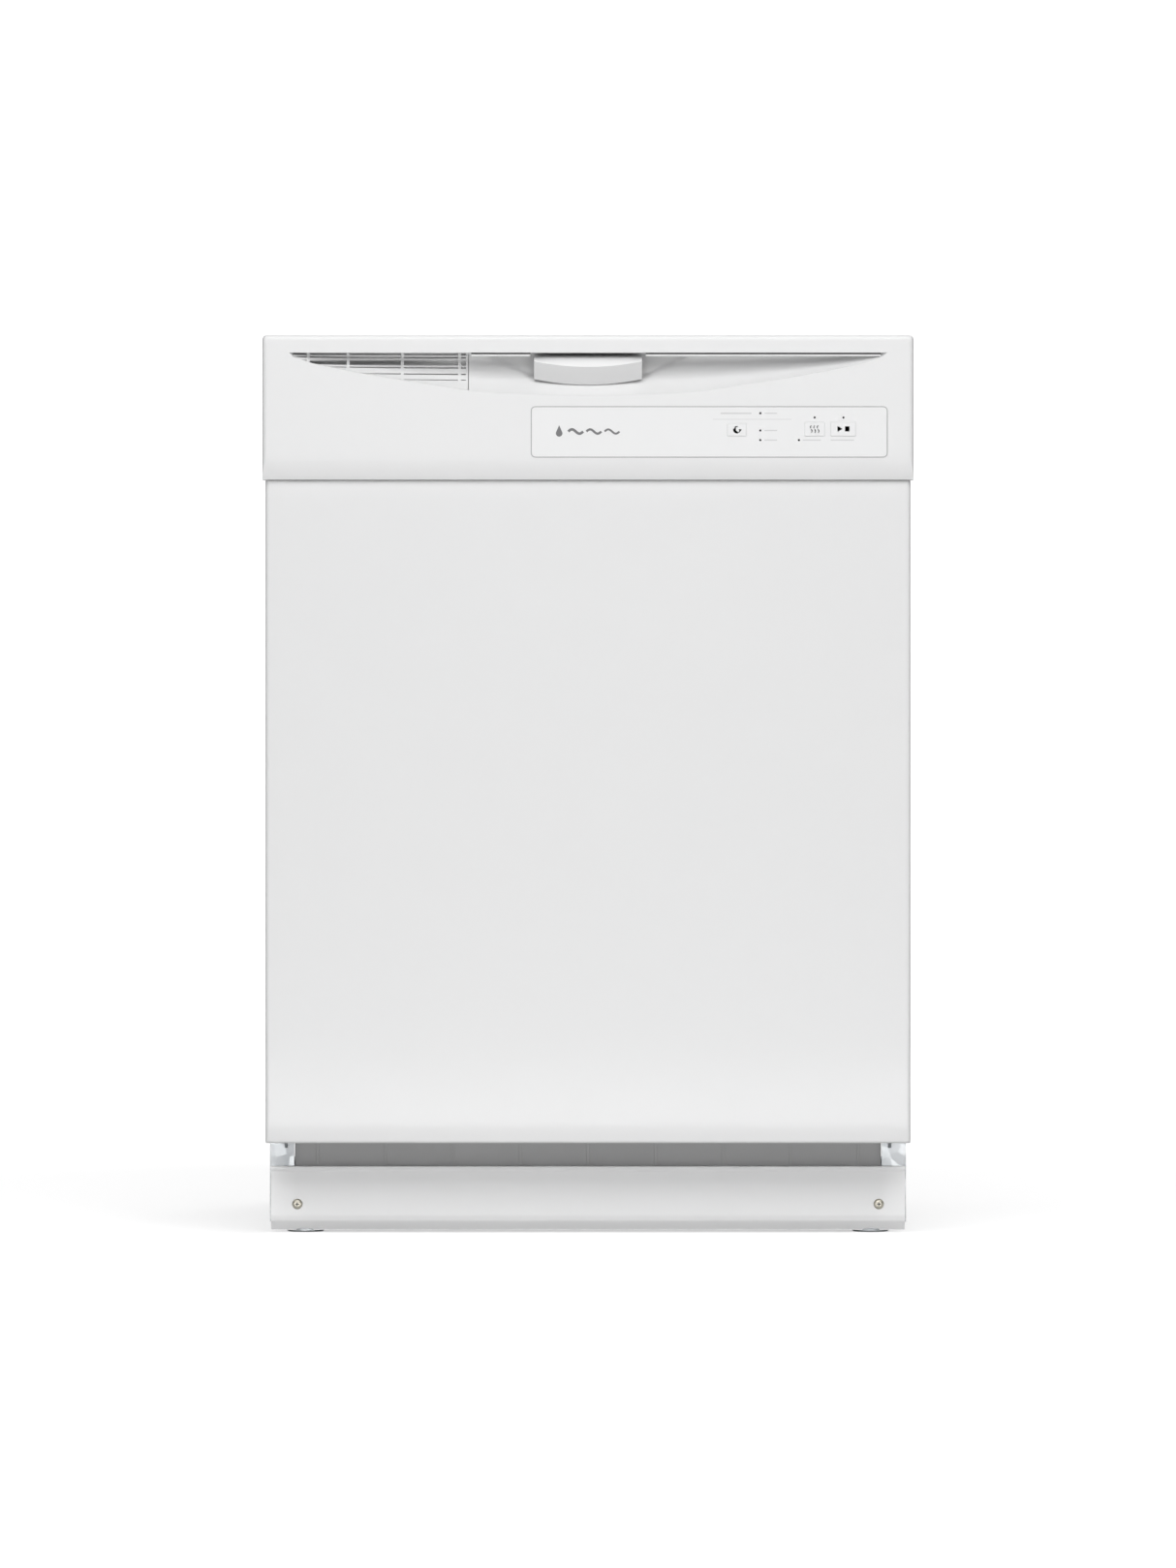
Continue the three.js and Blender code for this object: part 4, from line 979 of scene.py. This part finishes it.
def make_element():
    low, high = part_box("heating_element")
    radius = 4 * MM
    front, back = low.y + radius, high.y - radius
    half, height = high.x - radius, high.z - radius
    end = 25 * MM
    path = [(-end, front, low.z), (-end, front, height), (-half, front, height), (-half, back, height),
            (half, back, height), (half, front, height), (end, front, height), (end, front, low.z)]
    wires("heating_element.rod", [rounded(path, 15 * MM, 8)], radius * 0.95, "base", "stainless_steel",
          ["heating_element"], 4)
    clips = []
    for x in (-half, half):
        for y in (-100 * MM, 130 * MM):
            clips.append(((x - 5 * MM, y - 4 * MM, 121.2 * MM), (x + 5 * MM, y + 4 * MM, 127 * MM)))
            clips.append(((x - 5.6 * MM, y - 4 * MM, 125 * MM), (x - 4.2 * MM, y + 4 * MM, 134 * MM)))
            clips.append(((x + 4.2 * MM, y - 4 * MM, 125 * MM), (x + 5.6 * MM, y + 4 * MM, 134 * MM)))
    boxes("heating_element.clips", clips, "base", "wash_plastic", 0.6 * MM)


def make_feed():
    low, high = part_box("spray_feed_tube")
    radius = (high.x - low.x) / 2
    back = high.y - radius
    path = [(0, low.y, 104 * MM), (0, back, 104 * MM), (0, back, high.z - radius), (0, low.y + 1e-6, high.z - radius)]
    front = 53.4 * MM
    path[-1] = (0, front, high.z - radius)
    path[0] = (0, 108.4 * MM, 104 * MM)
    wires("spray_feed_tube.pipe", [rounded(path, 28 * MM, 10)], radius * 0.97, "base", "wash_plastic",
          ["spray_feed_tube"], 6)
    clips = [((-14 * MM, back + 1 * MM, z), (14 * MM, back + 11.5 * MM, z + 10 * MM)) for z in (0.22, 0.52, 0.7)]
    boxes("spray_feed_tube.clips", clips, "base", "wash_plastic", 1.2 * MM)


def make_spray_arm(node, body):
    """A long hollow blade, domed on top, with a row of jets on each side and a hub."""
    low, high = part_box(node)
    reach = high.x
    y0 = (low.y + high.y) / 2
    blade = (143 * MM, 151 * MM) if node.startswith("lower") else (439 * MM, 447 * MM)
    bm = bmesh.new()
    sections = []
    for t in spread(-1, 1, 49):
        x = t * reach * 0.998
        taper = 26 - 10 * abs(t)
        end = max(0.0, 1 - max(0.0, (abs(x) / MM - (reach / MM - 15)) / 15.2) ** 2) ** 0.5
        half = max(taper * end, 0.6) * MM
        twist = 2.0 * t * MM
        ring = []
        for turn in spread(0, 2 * math.pi, 25)[:-1]:
            c, s = math.cos(turn), math.sin(turn)
            across = math.copysign(abs(c) ** 0.75, c) * half
            lift = math.copysign(abs(s) ** 0.6, s) * 3.7 * MM * max(end, 0.25)
            ring.append(bm.verts.new((x, y0 + twist + across, sum(blade) / 2 + lift)))
        sections.append(ring)
    for left, right in zip(sections, sections[1:]):
        for i in range(24):
            j = (i + 1) % 24
            bm.faces.new((left[i], left[j], right[j], right[i]))
    bm.faces.new(sections[0][::-1])
    bm.faces.new(sections[-1])
    piece = from_bmesh(node + ".blade", bm, 50)
    settle(piece, body, "wash_plastic", [node])
    hub = [(19 * MM, low.z), (20 * MM, low.z + 1 * MM), (20 * MM, blade[1] - 1 * MM), (14 * MM, blade[1] + 1 * MM),
           (13 * MM, high.z - 1 * MM), (11 * MM, high.z)]
    turned(node + ".hub", [(hub, (0, y0, 0), "z")], body, "wash_plastic", steps=36)
    jets, holes = [], []
    for x in (-190, -158, -128, -98, -66, 70, 104, 136, 166, 196):
        side = 6 if x % 4 else -5
        place = (x * MM, y0 + side * MM + 2.0 * x * MM / (reach / MM), blade[1] - 1.4 * MM)
        jets.append(([(5 * MM, 0), (4 * MM, 1.2 * MM), (2.6 * MM, 1.5 * MM), (2.4 * MM, 1.1 * MM)], place, "z"))
        holes.append((disc_profile(1.5 * MM, 1.0 * MM, 1.45 * MM, 0.1 * MM), place, "z"))
    turned(node + ".jets", jets, body, "wash_plastic", steps=20, width=0.2 * MM)
    turned(node + ".jet_holes", holes, body, "black_plastic", steps=14, width=0.05 * MM)


def make_top_nozzle():
    low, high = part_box("top_spray_nozzle")
    radius = high.x
    y = (low.y + high.y) / 2
    profile = [(8 * MM, low.z), (12 * MM, low.z + 0.5 * MM), (radius - 6 * MM, low.z + 3 * MM),
               (radius - 1 * MM, low.z + 7 * MM), (radius, low.z + 11 * MM), (radius, high.z - 3 * MM),
               (radius - 3 * MM, high.z - 1 * MM), (12 * MM, high.z)]
    turned("top_spray_nozzle.dome", [(profile, (0, y, 0), "z")], "base", "wash_plastic", ["top_spray_nozzle"], 48)
    holes = []
    for count, ring in ((6, 9), (12, 19)):
        for i in range(count):
            turn = 2 * math.pi * i / count
            lift = 1.4 if ring > 10 else 0.3
            holes.append((disc_profile(1.4 * MM, -0.5 * MM, 0.6 * MM, 0.1 * MM),
                          (ring * MM * math.cos(turn), y + ring * MM * math.sin(turn), low.z + lift * MM), "z"))
    turned("top_spray_nozzle.holes", holes, "base", "black_plastic", steps=12, width=0.05 * MM)


def make_strainer():
    """A coarse strainer of rings and spokes in the sump's mouth, leaving room for the filter cup."""
    low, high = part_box("sump")
    y0 = (low.y + high.y) / 2
    cup = ((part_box("filter_cup")[0].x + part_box("filter_cup")[1].x) / 2, y0)
    height = high.z - 17 * MM
    height = 119 * MM
    runs = []

    def clear(x, y):
        return math.hypot(x - cup[0], y - cup[1]) > 29 * MM

    def keep(points):
        run = []
        for place in points:
            if clear(place[0], place[1]):
                run.append(place)
            elif len(run) > 1:
                runs.append(run)
                run = []
            else:
                run = []
        if len(run) > 1:
            runs.append(run)

    for radius in spread(18, 83, 14):
        keep([(radius * MM * math.cos(a), y0 + radius * MM * math.sin(a), height)
              for a in spread(0, 2 * math.pi, 73)])
    for i in range(36):
        turn = 2 * math.pi * i / 36
        inner = 16 if i % 3 == 0 else 40
        keep([(r * MM * math.cos(turn), y0 + r * MM * math.sin(turn), height) for r in spread(inner, 84, 12)])
    wires("sump.strainer", runs, 0.9 * MM, "base", "stainless_steel", resolution=1)
    refined("sump", 1.5 * MM)


def make_filter():
    low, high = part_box("filter_cup")
    x, y = (low.x + high.x) / 2, (low.y + high.y) / 2
    radius = 26 * MM
    rim = 126 * MM
    bm = bmesh.new()
    ring_mesh(bm, [(radius, rim), (radius - 3 * MM, rim), (radius - 3 * MM, rim - 8 * MM),
                   (radius, rim - 8 * MM)], (x, y, 0), "z", 40)
    ring_mesh(bm, [(radius, low.z), (radius, low.z + 6 * MM), (radius - 2 * MM, low.z + 6 * MM),
                   (2 * MM, low.z + 2 * MM), (2 * MM, low.z)], (x, y, 0), "z", 40)
    for i in range(8):
        turn = 2 * math.pi * i / 8
        made = box_mesh(bm, (radius - 2.4 * MM, -1.6 * MM, low.z + 4 * MM), (radius - 0.2 * MM, 1.6 * MM, rim - 6 * MM))
        bmesh.ops.rotate(bm, cent=(0, 0, 0), matrix=Matrix.Rotation(turn, 3, "Z"), verts=made)
        bmesh.ops.translate(bm, vec=(x, y, 0), verts=made)
    box_mesh(bm, (x - radius + 2 * MM, y - 2 * MM, rim - 9 * MM), (x + radius - 2 * MM, y + 2 * MM, high.z))
    piece = bevelled(from_bmesh("filter_cup.frame", bm), 0.6 * MM)
    settle(piece, "filter", "wash_plastic", ["filter_cup"])
    runs = []
    for height in spread(low.z + 7 * MM, rim - 9 * MM, 14):
        runs.append([(x + (radius - 1.4 * MM) * math.cos(a), y + (radius - 1.4 * MM) * math.sin(a), height)
                     for a in spread(0, 2 * math.pi, 41)])
    for a in spread(0, 2 * math.pi, 49)[:-1]:
        place = (x + (radius - 1.4 * MM) * math.cos(a), y + (radius - 1.4 * MM) * math.sin(a))
        runs.append([(*place, low.z + 6 * MM), (*place, rim - 8 * MM)])
    wires("filter_cup.mesh", runs, 0.35 * MM, "filter", "stainless_steel", resolution=1)


def make_float():
    low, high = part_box("float_dome")
    x, y = (low.x + high.x) / 2, (low.y + high.y) / 2
    radius = high.x - x
    bm = bmesh.new()
    profile = [(radius, low.z), (radius, high.z - 6 * MM), (radius - 1.5 * MM, high.z - 2.5 * MM),
               (radius - 6 * MM, high.z - 0.5 * MM), (1 * MM, high.z), (1 * MM, high.z - 2.6 * MM),
               (radius - 6 * MM, high.z - 3 * MM), (radius - 3 * MM, high.z - 6 * MM), (radius - 3 * MM, low.z)]
    ring_mesh(bm, profile, (x, y, 0), "z", 40)
    settle(bevelled(from_bmesh("float_dome.cap", bm), 0.4 * MM), "float", "fitting_white", ["float_dome"])


# ---- racks, wheels and basket ------------------------------------------------------------------------
def wire_rack(node, body, floor, rim, tine_rows, tine_height):
    """A rack of coated round wires: hoops both ways, a rolled rim, a mid band and rows of tines."""
    half = 250 * MM if node == "upper_rack" else 256 * MM
    low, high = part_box(node)
    front, back = low.y + 2 * MM, high.y - 2 * MM
    x = half - 2 * MM
    z0, z1 = floor + 2 * MM, rim + 2 * MM
    hoops = []
    for y in spread(front + 13 * MM, back - 13 * MM, 17):
        hoops.append(rounded([(-x, y, z1), (-x, y, z0), (x, y, z0), (x, y, z1)], 12 * MM, 4))
    for place in spread(-x + 16 * MM, x - 16 * MM, 15):
        hoops.append(rounded([(place, front, z1), (place, front, z0), (place, back, z0), (place, back, z1)],
                             12 * MM, 4))
    wires(node + ".hoops", hoops, 1.5 * MM, body, "rack_coating", [node], 2)
    bands = []
    for height in (z1, lerp(z0, z1, 0.52)):
        bands.append(rounded([(-x, front, height), (x, front, height), (x, back, height), (-x, back, height)],
                             14 * MM, 5, closed=True))
    wires(node + ".bands", bands, 2.0 * MM, body, "rack_coating", resolution=2, closed=True)
    tines, caps = [], []
    for row, (left, right) in tine_rows:
        count = int((right - left) / (24 * MM)) + 1
        for place in spread(left, right, count):
            top = (place, row - 5 * MM, z0 + tine_height)
            tines.append(rounded([(place, row + 6 * MM, z0 + 2.6 * MM), (place, row, z0 + 2.6 * MM), top], 4 * MM, 3))
            caps.append(([(0.8 * MM, -4 * MM), (1.9 * MM, -3 * MM), (1.9 * MM, 0), (0.9 * MM, 1.2 * MM)], top, "z"))
        tines.append([(left, row, z0 + 2.6 * MM), (right, row, z0 + 2.6 * MM)])
    wires(node + ".tines", tines, 1.4 * MM, body, "rack_coating", resolution=2)
    turned(node + ".tine_caps", caps, body, "rack_coating", steps=10, width=0.1 * MM)


def make_racks():
    wide = (-238 * MM, 238 * MM)
    wire_rack("upper_rack", "top_rack", 470 * MM, 586 * MM,
              [(y * MM, (-238 * MM, -24 * MM)) for y in (-120, 20, 160)]
              + [(y * MM, (24 * MM, 238 * MM)) for y in (-150, -50, 50, 150)], 62 * MM)
    wire_rack("lower_rack", "bottom_rack", 160 * MM, 286 * MM,
              [(y * MM, (-240 * MM, 134 * MM)) for y in (-150, -60, 30, 120, 200)]
              + [(y * MM, (158 * MM, 238 * MM)) for y in (162, 230)], 88 * MM)
    assert wide[0] < 0
    for side in (-1, 1):
        shoes = []
        for y in (75, 225):
            outer = side * 267.4 * MM
            inner = side * 248.6 * MM
            low_x, high_x = sorted((inner, outer))
            shoes.append((disc_profile(10 * MM, low_x, high_x, 1 * MM), (0, y * MM, 587.5 * MM), "x"))
        turned(f"upper_rack.shoes_{'left' if side < 0 else 'right'}", shoes, "top_rack", "fitting_white", steps=32)
        mounts = []
        for y in (-145.5, 200):
            near, far = sorted((side * 253 * MM, side * 259 * MM))
            mounts.append(((near, (y - 9) * MM, 130 * MM), (far, (y + 9) * MM, 168 * MM)))
        boxes(f"lower_rack.brackets_{'left' if side < 0 else 'right'}", mounts, "bottom_rack", "fitting_white", 1.2 * MM)
        axles = []
        for y in (-145.5, 200):
            low_x, high_x = sorted((side * 257 * MM, side * 274.8 * MM))
            axles.append((disc_profile(2.9 * MM, low_x, high_x, 0.6 * MM), (0, y * MM, 137.5 * MM), "x"))
        turned(f"lower_rack.axles_{'left' if side < 0 else 'right'}", axles, "bottom_rack", "stainless_steel", steps=20)
    refined("upper_arm_feed", 0.8 * MM)
    grips = []
    for y in (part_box("upper_rack")[0].y + 1.4 * MM,):
        grips.append(((-46 * MM, y - 1.2 * MM, 574 * MM), (46 * MM, y + 3 * MM, 590 * MM)))
    boxes("upper_rack.grip", grips, "top_rack", "fitting_white", 1.2 * MM)
    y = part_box("lower_rack")[0].y + 1.4 * MM
    boxes("lower_rack.grip", [((-46 * MM, y - 1.2 * MM, 273 * MM), (46 * MM, y + 3 * MM, 290 * MM))],
          "bottom_rack", "fitting_white", 1.2 * MM)


def make_wheel(node, body, spokes, bore):
    """A moulded wheel along X: tread, rim, hub with its bore and spokes."""
    low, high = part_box(node)
    centre = (0, (low.y + high.y) / 2, (low.z + high.z) / 2)
    radius = (high.z - low.z) / 2
    x0, x1 = low.x, high.x
    wide = x1 - x0
    bm = bmesh.new()
    rim = radius * 0.74
    ring_mesh(bm, [(rim, x0 + 0.1 * wide), (radius - 0.7 * MM, x0), (radius, x0 + 0.8 * MM),
                   (radius, x1 - 0.8 * MM), (radius - 0.7 * MM, x1), (rim, x1 - 0.1 * wide)], centre, "x", 40)
    hub = bore + 2.2 * MM
    ring_mesh(bm, [(bore, x0), (hub, x0), (hub, x1), (bore, x1)], centre, "x", 28)
    for i in range(spokes):
        made = box_mesh(bm, (x0 + 0.22 * wide, -0.9 * MM, hub - 0.6 * MM), (x1 - 0.22 * wide, 0.9 * MM, rim + 0.7 * MM))
        bmesh.ops.rotate(bm, cent=(0, 0, 0), matrix=Matrix.Rotation(2 * math.pi * i / spokes, 3, "X"), verts=made)
        bmesh.ops.translate(bm, vec=centre, verts=made)
    settle(bevelled(from_bmesh(node + ".moulding", bm), 0.25 * MM), body, SLOT_OF[node], [node])


def make_wheels():
    for place in ("front_left", "front_right", "rear_left", "rear_right"):
        make_wheel("lower_wheel_" + place, "wheel_" + place, 6, 3.4 * MM)
    for side in ("left", "right"):
        make_wheel(side + "_rail_roller", side + "_roller", 5, 3.3 * MM)


def make_basket():
    low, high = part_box("silverware_basket")
    top = 275 * MM
    wall = 2.5 * MM
    parts = []
    dividers = [low.y + k * (high.y - low.y - wall) / 3 for k in range(4)]
    for z in (low.z, lerp(low.z, top, 0.34), lerp(low.z, top, 0.67), top - 7 * MM):
        for x in (low.x, high.x - wall):
            parts.append(((x, low.y, z), (x + wall, high.y, z + 7 * MM)))
        for y in (dividers[0], dividers[-1]):
            parts.append(((low.x + 0.3 * MM, y, z + 0.1 * MM), (high.x - 0.3 * MM, y + wall, z + 6.9 * MM)))
    for y in dividers[1:3]:
        parts.append(((low.x + 1 * MM, y, low.z + 1 * MM), (high.x - 1 * MM, y + wall, top - 1 * MM)))
    for y in spread(low.y, high.y - 3 * MM, 31):
        for x in (low.x + 0.25 * MM, high.x - wall + 0.25 * MM):
            parts.append(((x, y, low.z + 0.5 * MM), (x + 2 * MM, y + 3 * MM, top - 0.5 * MM)))
        parts.append(((low.x + 0.5 * MM, y + 0.2 * MM, low.z + 0.2 * MM), (high.x - 0.5 * MM, y + 2.8 * MM, low.z + 2 * MM)))
    for x in spread(low.x, high.x - 3 * MM, 11):
        for y in (dividers[0] + 0.25 * MM, dividers[-1] + 0.25 * MM):
            parts.append(((x, y, low.z + 0.5 * MM), (x + 3 * MM, y + 2 * MM, top - 0.5 * MM)))
        parts.append(((x + 0.2 * MM, low.y + 0.5 * MM, low.z + 0.4 * MM), (x + 2.8 * MM, high.y - 0.5 * MM, low.z + 2.3 * MM)))
    boxes("silverware_basket.lattice", parts, "basket", "wash_plastic", 0.4 * MM, ["silverware_basket"])
    x = (low.x + high.x) / 2
    grip = rounded([(x, dividers[1] + wall / 2, top - 4 * MM), (x, dividers[1] + wall / 2, high.z - 4 * MM),
                    (x, dividers[2] + wall / 2, high.z - 4 * MM), (x, dividers[2] + wall / 2, top - 4 * MM)], 14 * MM, 8)
    wires("silverware_basket.handle", [grip], 3.4 * MM, "basket", "wash_plastic", resolution=5)


# ---- inner door ----------------------------------------------------------------------------------------
def make_inner_door():
    refined("door_liner", 2.4 * MM)
    low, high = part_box("door_liner")
    dish = -281 * MM
    ribs = []
    for z in (190, 225, 260, 520, 560, 600, 640, 680, 720):
        ribs.append(((-215 * MM, dish - 0.4 * MM, z * MM), (215 * MM, dish + 1.8 * MM, (z + 9) * MM)))
    boxes("door_liner.ribs", ribs, "door", "tub_plastic", 0.9 * MM)
    screws, slots = [], []
    for side in (-1, 1):
        for z in (170, 330, 490, 650, 790):
            centre = (side * 285 * MM, high.y, z * MM)
            screws.append((disc_profile(4.2 * MM, -0.5 * MM, 0.25 * MM, 0.3 * MM), centre, "y"))
            slots.append((disc_profile(1.7 * MM, 0.0, 0.28 * MM, 0.05 * MM), centre, "y"))
    turned("door_liner.screws", screws, "door", "stainless_steel", steps=24, width=0.1 * MM)
    turned("door_liner.screw_sockets", slots, "door", "black_plastic", steps=6, width=0.02 * MM)
    refined("detergent_dispenser", 1.2 * MM)
    refined("detergent_lid", 0.9 * MM)
    low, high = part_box("detergent_lid")
    x = (low.x + high.x) / 2
    boxes("detergent_lid.catch", [((x - 12 * MM, high.y - 0.6 * MM, high.z - 16 * MM),
                                  (x + 12 * MM, high.y + 1.6 * MM, high.z - 5 * MM))], "lid", "wash_plastic", 0.8 * MM)
    refined("rinse_aid_cap", 0.7 * MM)
    low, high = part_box("rinse_aid_cap")
    x, z = (low.x + high.x) / 2, (low.z + high.z) / 2
    notches = []
    for i in range(18):
        turn = 2 * math.pi * i / 18
        notches.append((disc_profile(0.8 * MM, -3.6 * MM, -0.4 * MM, 0.2 * MM),
                        (x + 14.5 * MM * math.cos(turn), -272.7 * MM, z + 14.5 * MM * math.sin(turn)), "y"))
    turned("rinse_aid_cap.knurl", notches, "rinse_cap", "wash_plastic", steps=10, width=0.1 * MM)
    for node in ("left_hinge_arm", "right_hinge_arm", "latch_hook"):
        refined(node, 0.5 * MM)
    refined("control_board_box", 1 * MM)


# ---- tub and base --------------------------------------------------------------------------------------
def make_tub():
    refined("tub", 1.6 * MM)
    low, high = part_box("tub")
    inner, wall = 279 * MM, 300 * MM
    ribs = []
    for z in spread(170 * MM, 540 * MM, 6):
        for side in (-1, 1):
            near, far = sorted((side * (inner - 1.0 * MM), side * (inner + 1 * MM)))
            ribs.append(((near, -225 * MM, z), (far, 270 * MM, z + 8 * MM)))
    boxes("tub.wall_ribs", ribs, "base", "tub_plastic", 0.8 * MM)
    bars = []
    for x in (-190, -127, -63, 0, 63, 127, 190, 245):
        bars.append((((x - 2) * MM, wall - 1 * MM, 140 * MM), ((x + 2) * MM, wall + 7 * MM, 812 * MM)))
    for z in (150, 280, 420, 560, 700, 800):
        bars.append(((-262 * MM, wall - 1 * MM, (z - 2) * MM), (262 * MM, wall + 5.5 * MM, (z + 2) * MM)))
    boxes("tub.rear_ribs", bars, "base", "tub_plastic", 1.0 * MM)
    panels = []
    for x0, x1 in ((-150, -20), (20, 150)):
        for z0, z1 in ((180, 420), (450, 690)):
            panels.append(((x0 * MM, 295.4 * MM, z0 * MM), (x1 * MM, 297.5 * MM, z1 * MM)))
    boxes("tub.inner_back_panels", panels, "base", "tub_plastic", 0.9 * MM)
    refined("tub_gasket", 1.4 * MM)
    bead = rounded([(-286 * MM, -254 * MM, 122 * MM), (286 * MM, -254 * MM, 122 * MM),
                    (286 * MM, -254 * MM, 828 * MM), (-286 * MM, -254 * MM, 828 * MM)], 9 * MM, 6, closed=True)
    wires("tub_gasket.bead", [[(p.x, -255 * MM, p.z) for p in bead]], 2.0 * MM, "base", "black_rubber",
          resolution=3, closed=True)


def make_blanket():
    """A soft mastic mat draped over the tub, a little uneven, held by two straps."""
    low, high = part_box("insulation_blanket")
    path = rounded([(low.x + 1 * MM, 0, low.z), (low.x + 1 * MM, 0, high.z - 1 * MM),
                    (high.x - 1 * MM, 0, high.z - 1 * MM), (high.x - 1 * MM, 0, low.z)], 14 * MM, 8)
    fine = []
    for a, b in zip(path, path[1:]):
        count = max(1, int((b - a).length / (16 * MM)))
        fine += [a.lerp(b, i / count) for i in range(count)]
    fine.append(path[-1])
    bm = bmesh.new()
    grid = []
    for y in spread(low.y, high.y, 36):
        line = []
        for place in fine:
            swell = (math.sin(place.x * 61 + y * 43) + math.sin(place.z * 53 - y * 71) + math.sin(y * 97)) / 3
            shift = 0.9 * MM * swell - 0.4 * MM
            outward = Vector((place.x / high.x, 0, max(0, (place.z - 0.8) / 0.0376)))
            outward = outward.normalized() if abs(place.x) > high.x - 12 * MM or place.z > 0.83 else Vector((1, 0, 0))
            line.append(bm.verts.new(Vector((place.x, y, place.z)) + outward * shift))
        grid.append(line)
    for left, right in zip(grid, grid[1:]):
        for i in range(len(fine) - 1):
            bm.faces.new((left[i], left[i + 1], right[i + 1], right[i]))
    piece = from_bmesh("insulation_blanket.mat", bm, 60)
    mat = piece.modifiers.new("mat", "SOLIDIFY")
    mat.thickness = 6.5 * MM
    mat.offset = -1 if piece.data.polygons[0].normal.x < 0 else 1
    settle(piece, "base", "sound_blanket", ["insulation_blanket"])
    for k, y in enumerate((-120 * MM, 170 * MM)):
        bm = bmesh.new()
        band = rounded([(-293 * MM, y, 150 * MM), (-293 * MM, y, 838.4 * MM), (293 * MM, y, 838.4 * MM),
                        (293 * MM, y, 150 * MM)], 14 * MM, 8)
        rows = [[bm.verts.new((p.x, p.y + side, p.z)) for p in band] for side in (-9 * MM, 9 * MM)]
        for i in range(len(band) - 1):
            bm.faces.new((rows[0][i], rows[0][i + 1], rows[1][i + 1], rows[1][i]))
        piece = from_bmesh(f"insulation_blanket.strap_{k + 1}", bm, 60)
        strap = piece.modifiers.new("strap", "SOLIDIFY")
        strap.thickness = 0.8 * MM
        strap.offset = 0
        settle(piece, "base", "black_plastic")


def make_base():
    for node in ("left_base_rail", "right_base_rail", "rear_crossmember", "left_counter_bracket",
                 "right_counter_bracket", "access_panel", "float_guide"):
        refined(node, 0.5 * MM)
    for node in ("left_rack_rail", "right_rack_rail"):
        refined(node, 0.35 * MM)
    low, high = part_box("access_panel")
    steps = [((x, low.y - 0.6 * MM, low.z + 8 * MM), (x + 3 * MM, low.y + 0.6 * MM, high.z - 6 * MM))
             for x in spread(low.x + 20 * MM, high.x - 23 * MM, 9)]
    # The ribs share the access panel's darker grey: painted shade.
    boxes("access_panel.ribs", steps, "base", "dark_panel", 0.4 * MM)
    holes = []
    for side in ("left", "right"):
        low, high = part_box(side + "_counter_bracket")
        x = (low.x + high.x) / 2
        holes.append((disc_profile(3.2 * MM, high.z - 0.6 * MM, high.z + 0.05 * MM, 0.05 * MM),
                      (x, high.y - 12 * MM, 0), "z"))
    turned("counter_bracket.holes", holes, "base", "black_plastic", steps=24, width=0.02 * MM)


def make_fascia():
    """The overlay: a thin film with holes for the keys, standing just proud of the console."""
    low, high = OVERLAY
    bm = bmesh.new()
    outer = flat_outline(low.x, high.x, low.z, high.z, 4.4 * MM)
    loops = [outer]
    for node in KEY_NODES:
        a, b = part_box(node)
        gap = 0.25 * MM
        loops.append(flat_outline(a.x - gap, b.x + gap, a.z - gap, b.z + gap, 1.4 * MM, 4))
    edges = []
    for loop in loops:
        verts = [bm.verts.new((x, PRINT_Y, z)) for x, z in loop]
        edges += [bm.edges.new((verts[i], verts[(i + 1) % len(verts)])) for i in range(len(verts))]
    bmesh.ops.triangle_fill(bm, use_beauty=True, use_dissolve=False, edges=edges)
    bmesh.ops.recalc_face_normals(bm, faces=bm.faces)
    piece = from_bmesh("console_fascia.film", bm)
    if piece.data.polygons[0].normal.y > 0:
        piece.data.flip_normals()
    film = piece.modifiers.new("film", "SOLIDIFY")
    film.thickness = 0.5 * MM
    film.offset = -1
    settle(piece, "door", "overlay_white", ["console_fascia"])


def main():
    make_camera()
    make_lights()
    make_materials()
    make_console()
    make_grille()
    make_handle()
    make_pocket_ledges()
    make_fascia()
    make_print()
    for node in KEY_NODES:
        make_key(node)
    make_door_panel()
    make_kick_plate()
    make_legs()
    make_springs()
    make_motor()
    make_pump_details()
    make_valve()
    make_hose()
    make_junction_box()
    make_element()
    make_feed()
    make_spray_arm("lower_spray_arm", "lower_arm")
    make_spray_arm("upper_spray_arm", "upper_arm")
    make_top_nozzle()
    make_strainer()
    make_filter()
    make_float()
    make_racks()
    make_wheels()
    make_basket()
    make_inner_door()
    make_tub()
    make_blanket()
    make_base()
    make_stage()


def make_stage():
    """A round pale floor that curves up into a wall on all sides."""
    make_floor_paint()
    radius, wall, steps = 11.0, 8.0, 96
    path = rounded([(0, 0, 0), (radius, 0, 0), (radius, 0, wall)], 2.0, 12)
    bm = bmesh.new()
    middle = bm.verts.new((0, 0, 0))
    rings = []
    for i in range(steps):
        turn = 2 * math.pi * i / steps
        rings.append([bm.verts.new((p[0] * math.cos(turn), p[0] * math.sin(turn), p[2])) for p in path[1:]])
    for left, right in zip(rings, rings[1:] + rings[:1]):
        bm.faces.new((middle, left[0], right[0]))
        for i in range(len(left) - 1):
            bm.faces.new((left[i], left[i + 1], right[i + 1], right[i]))
    floor = from_bmesh("studio_backdrop", bm, 60)
    floor.data.materials.append(SURFACES["studio_floor"])


main()
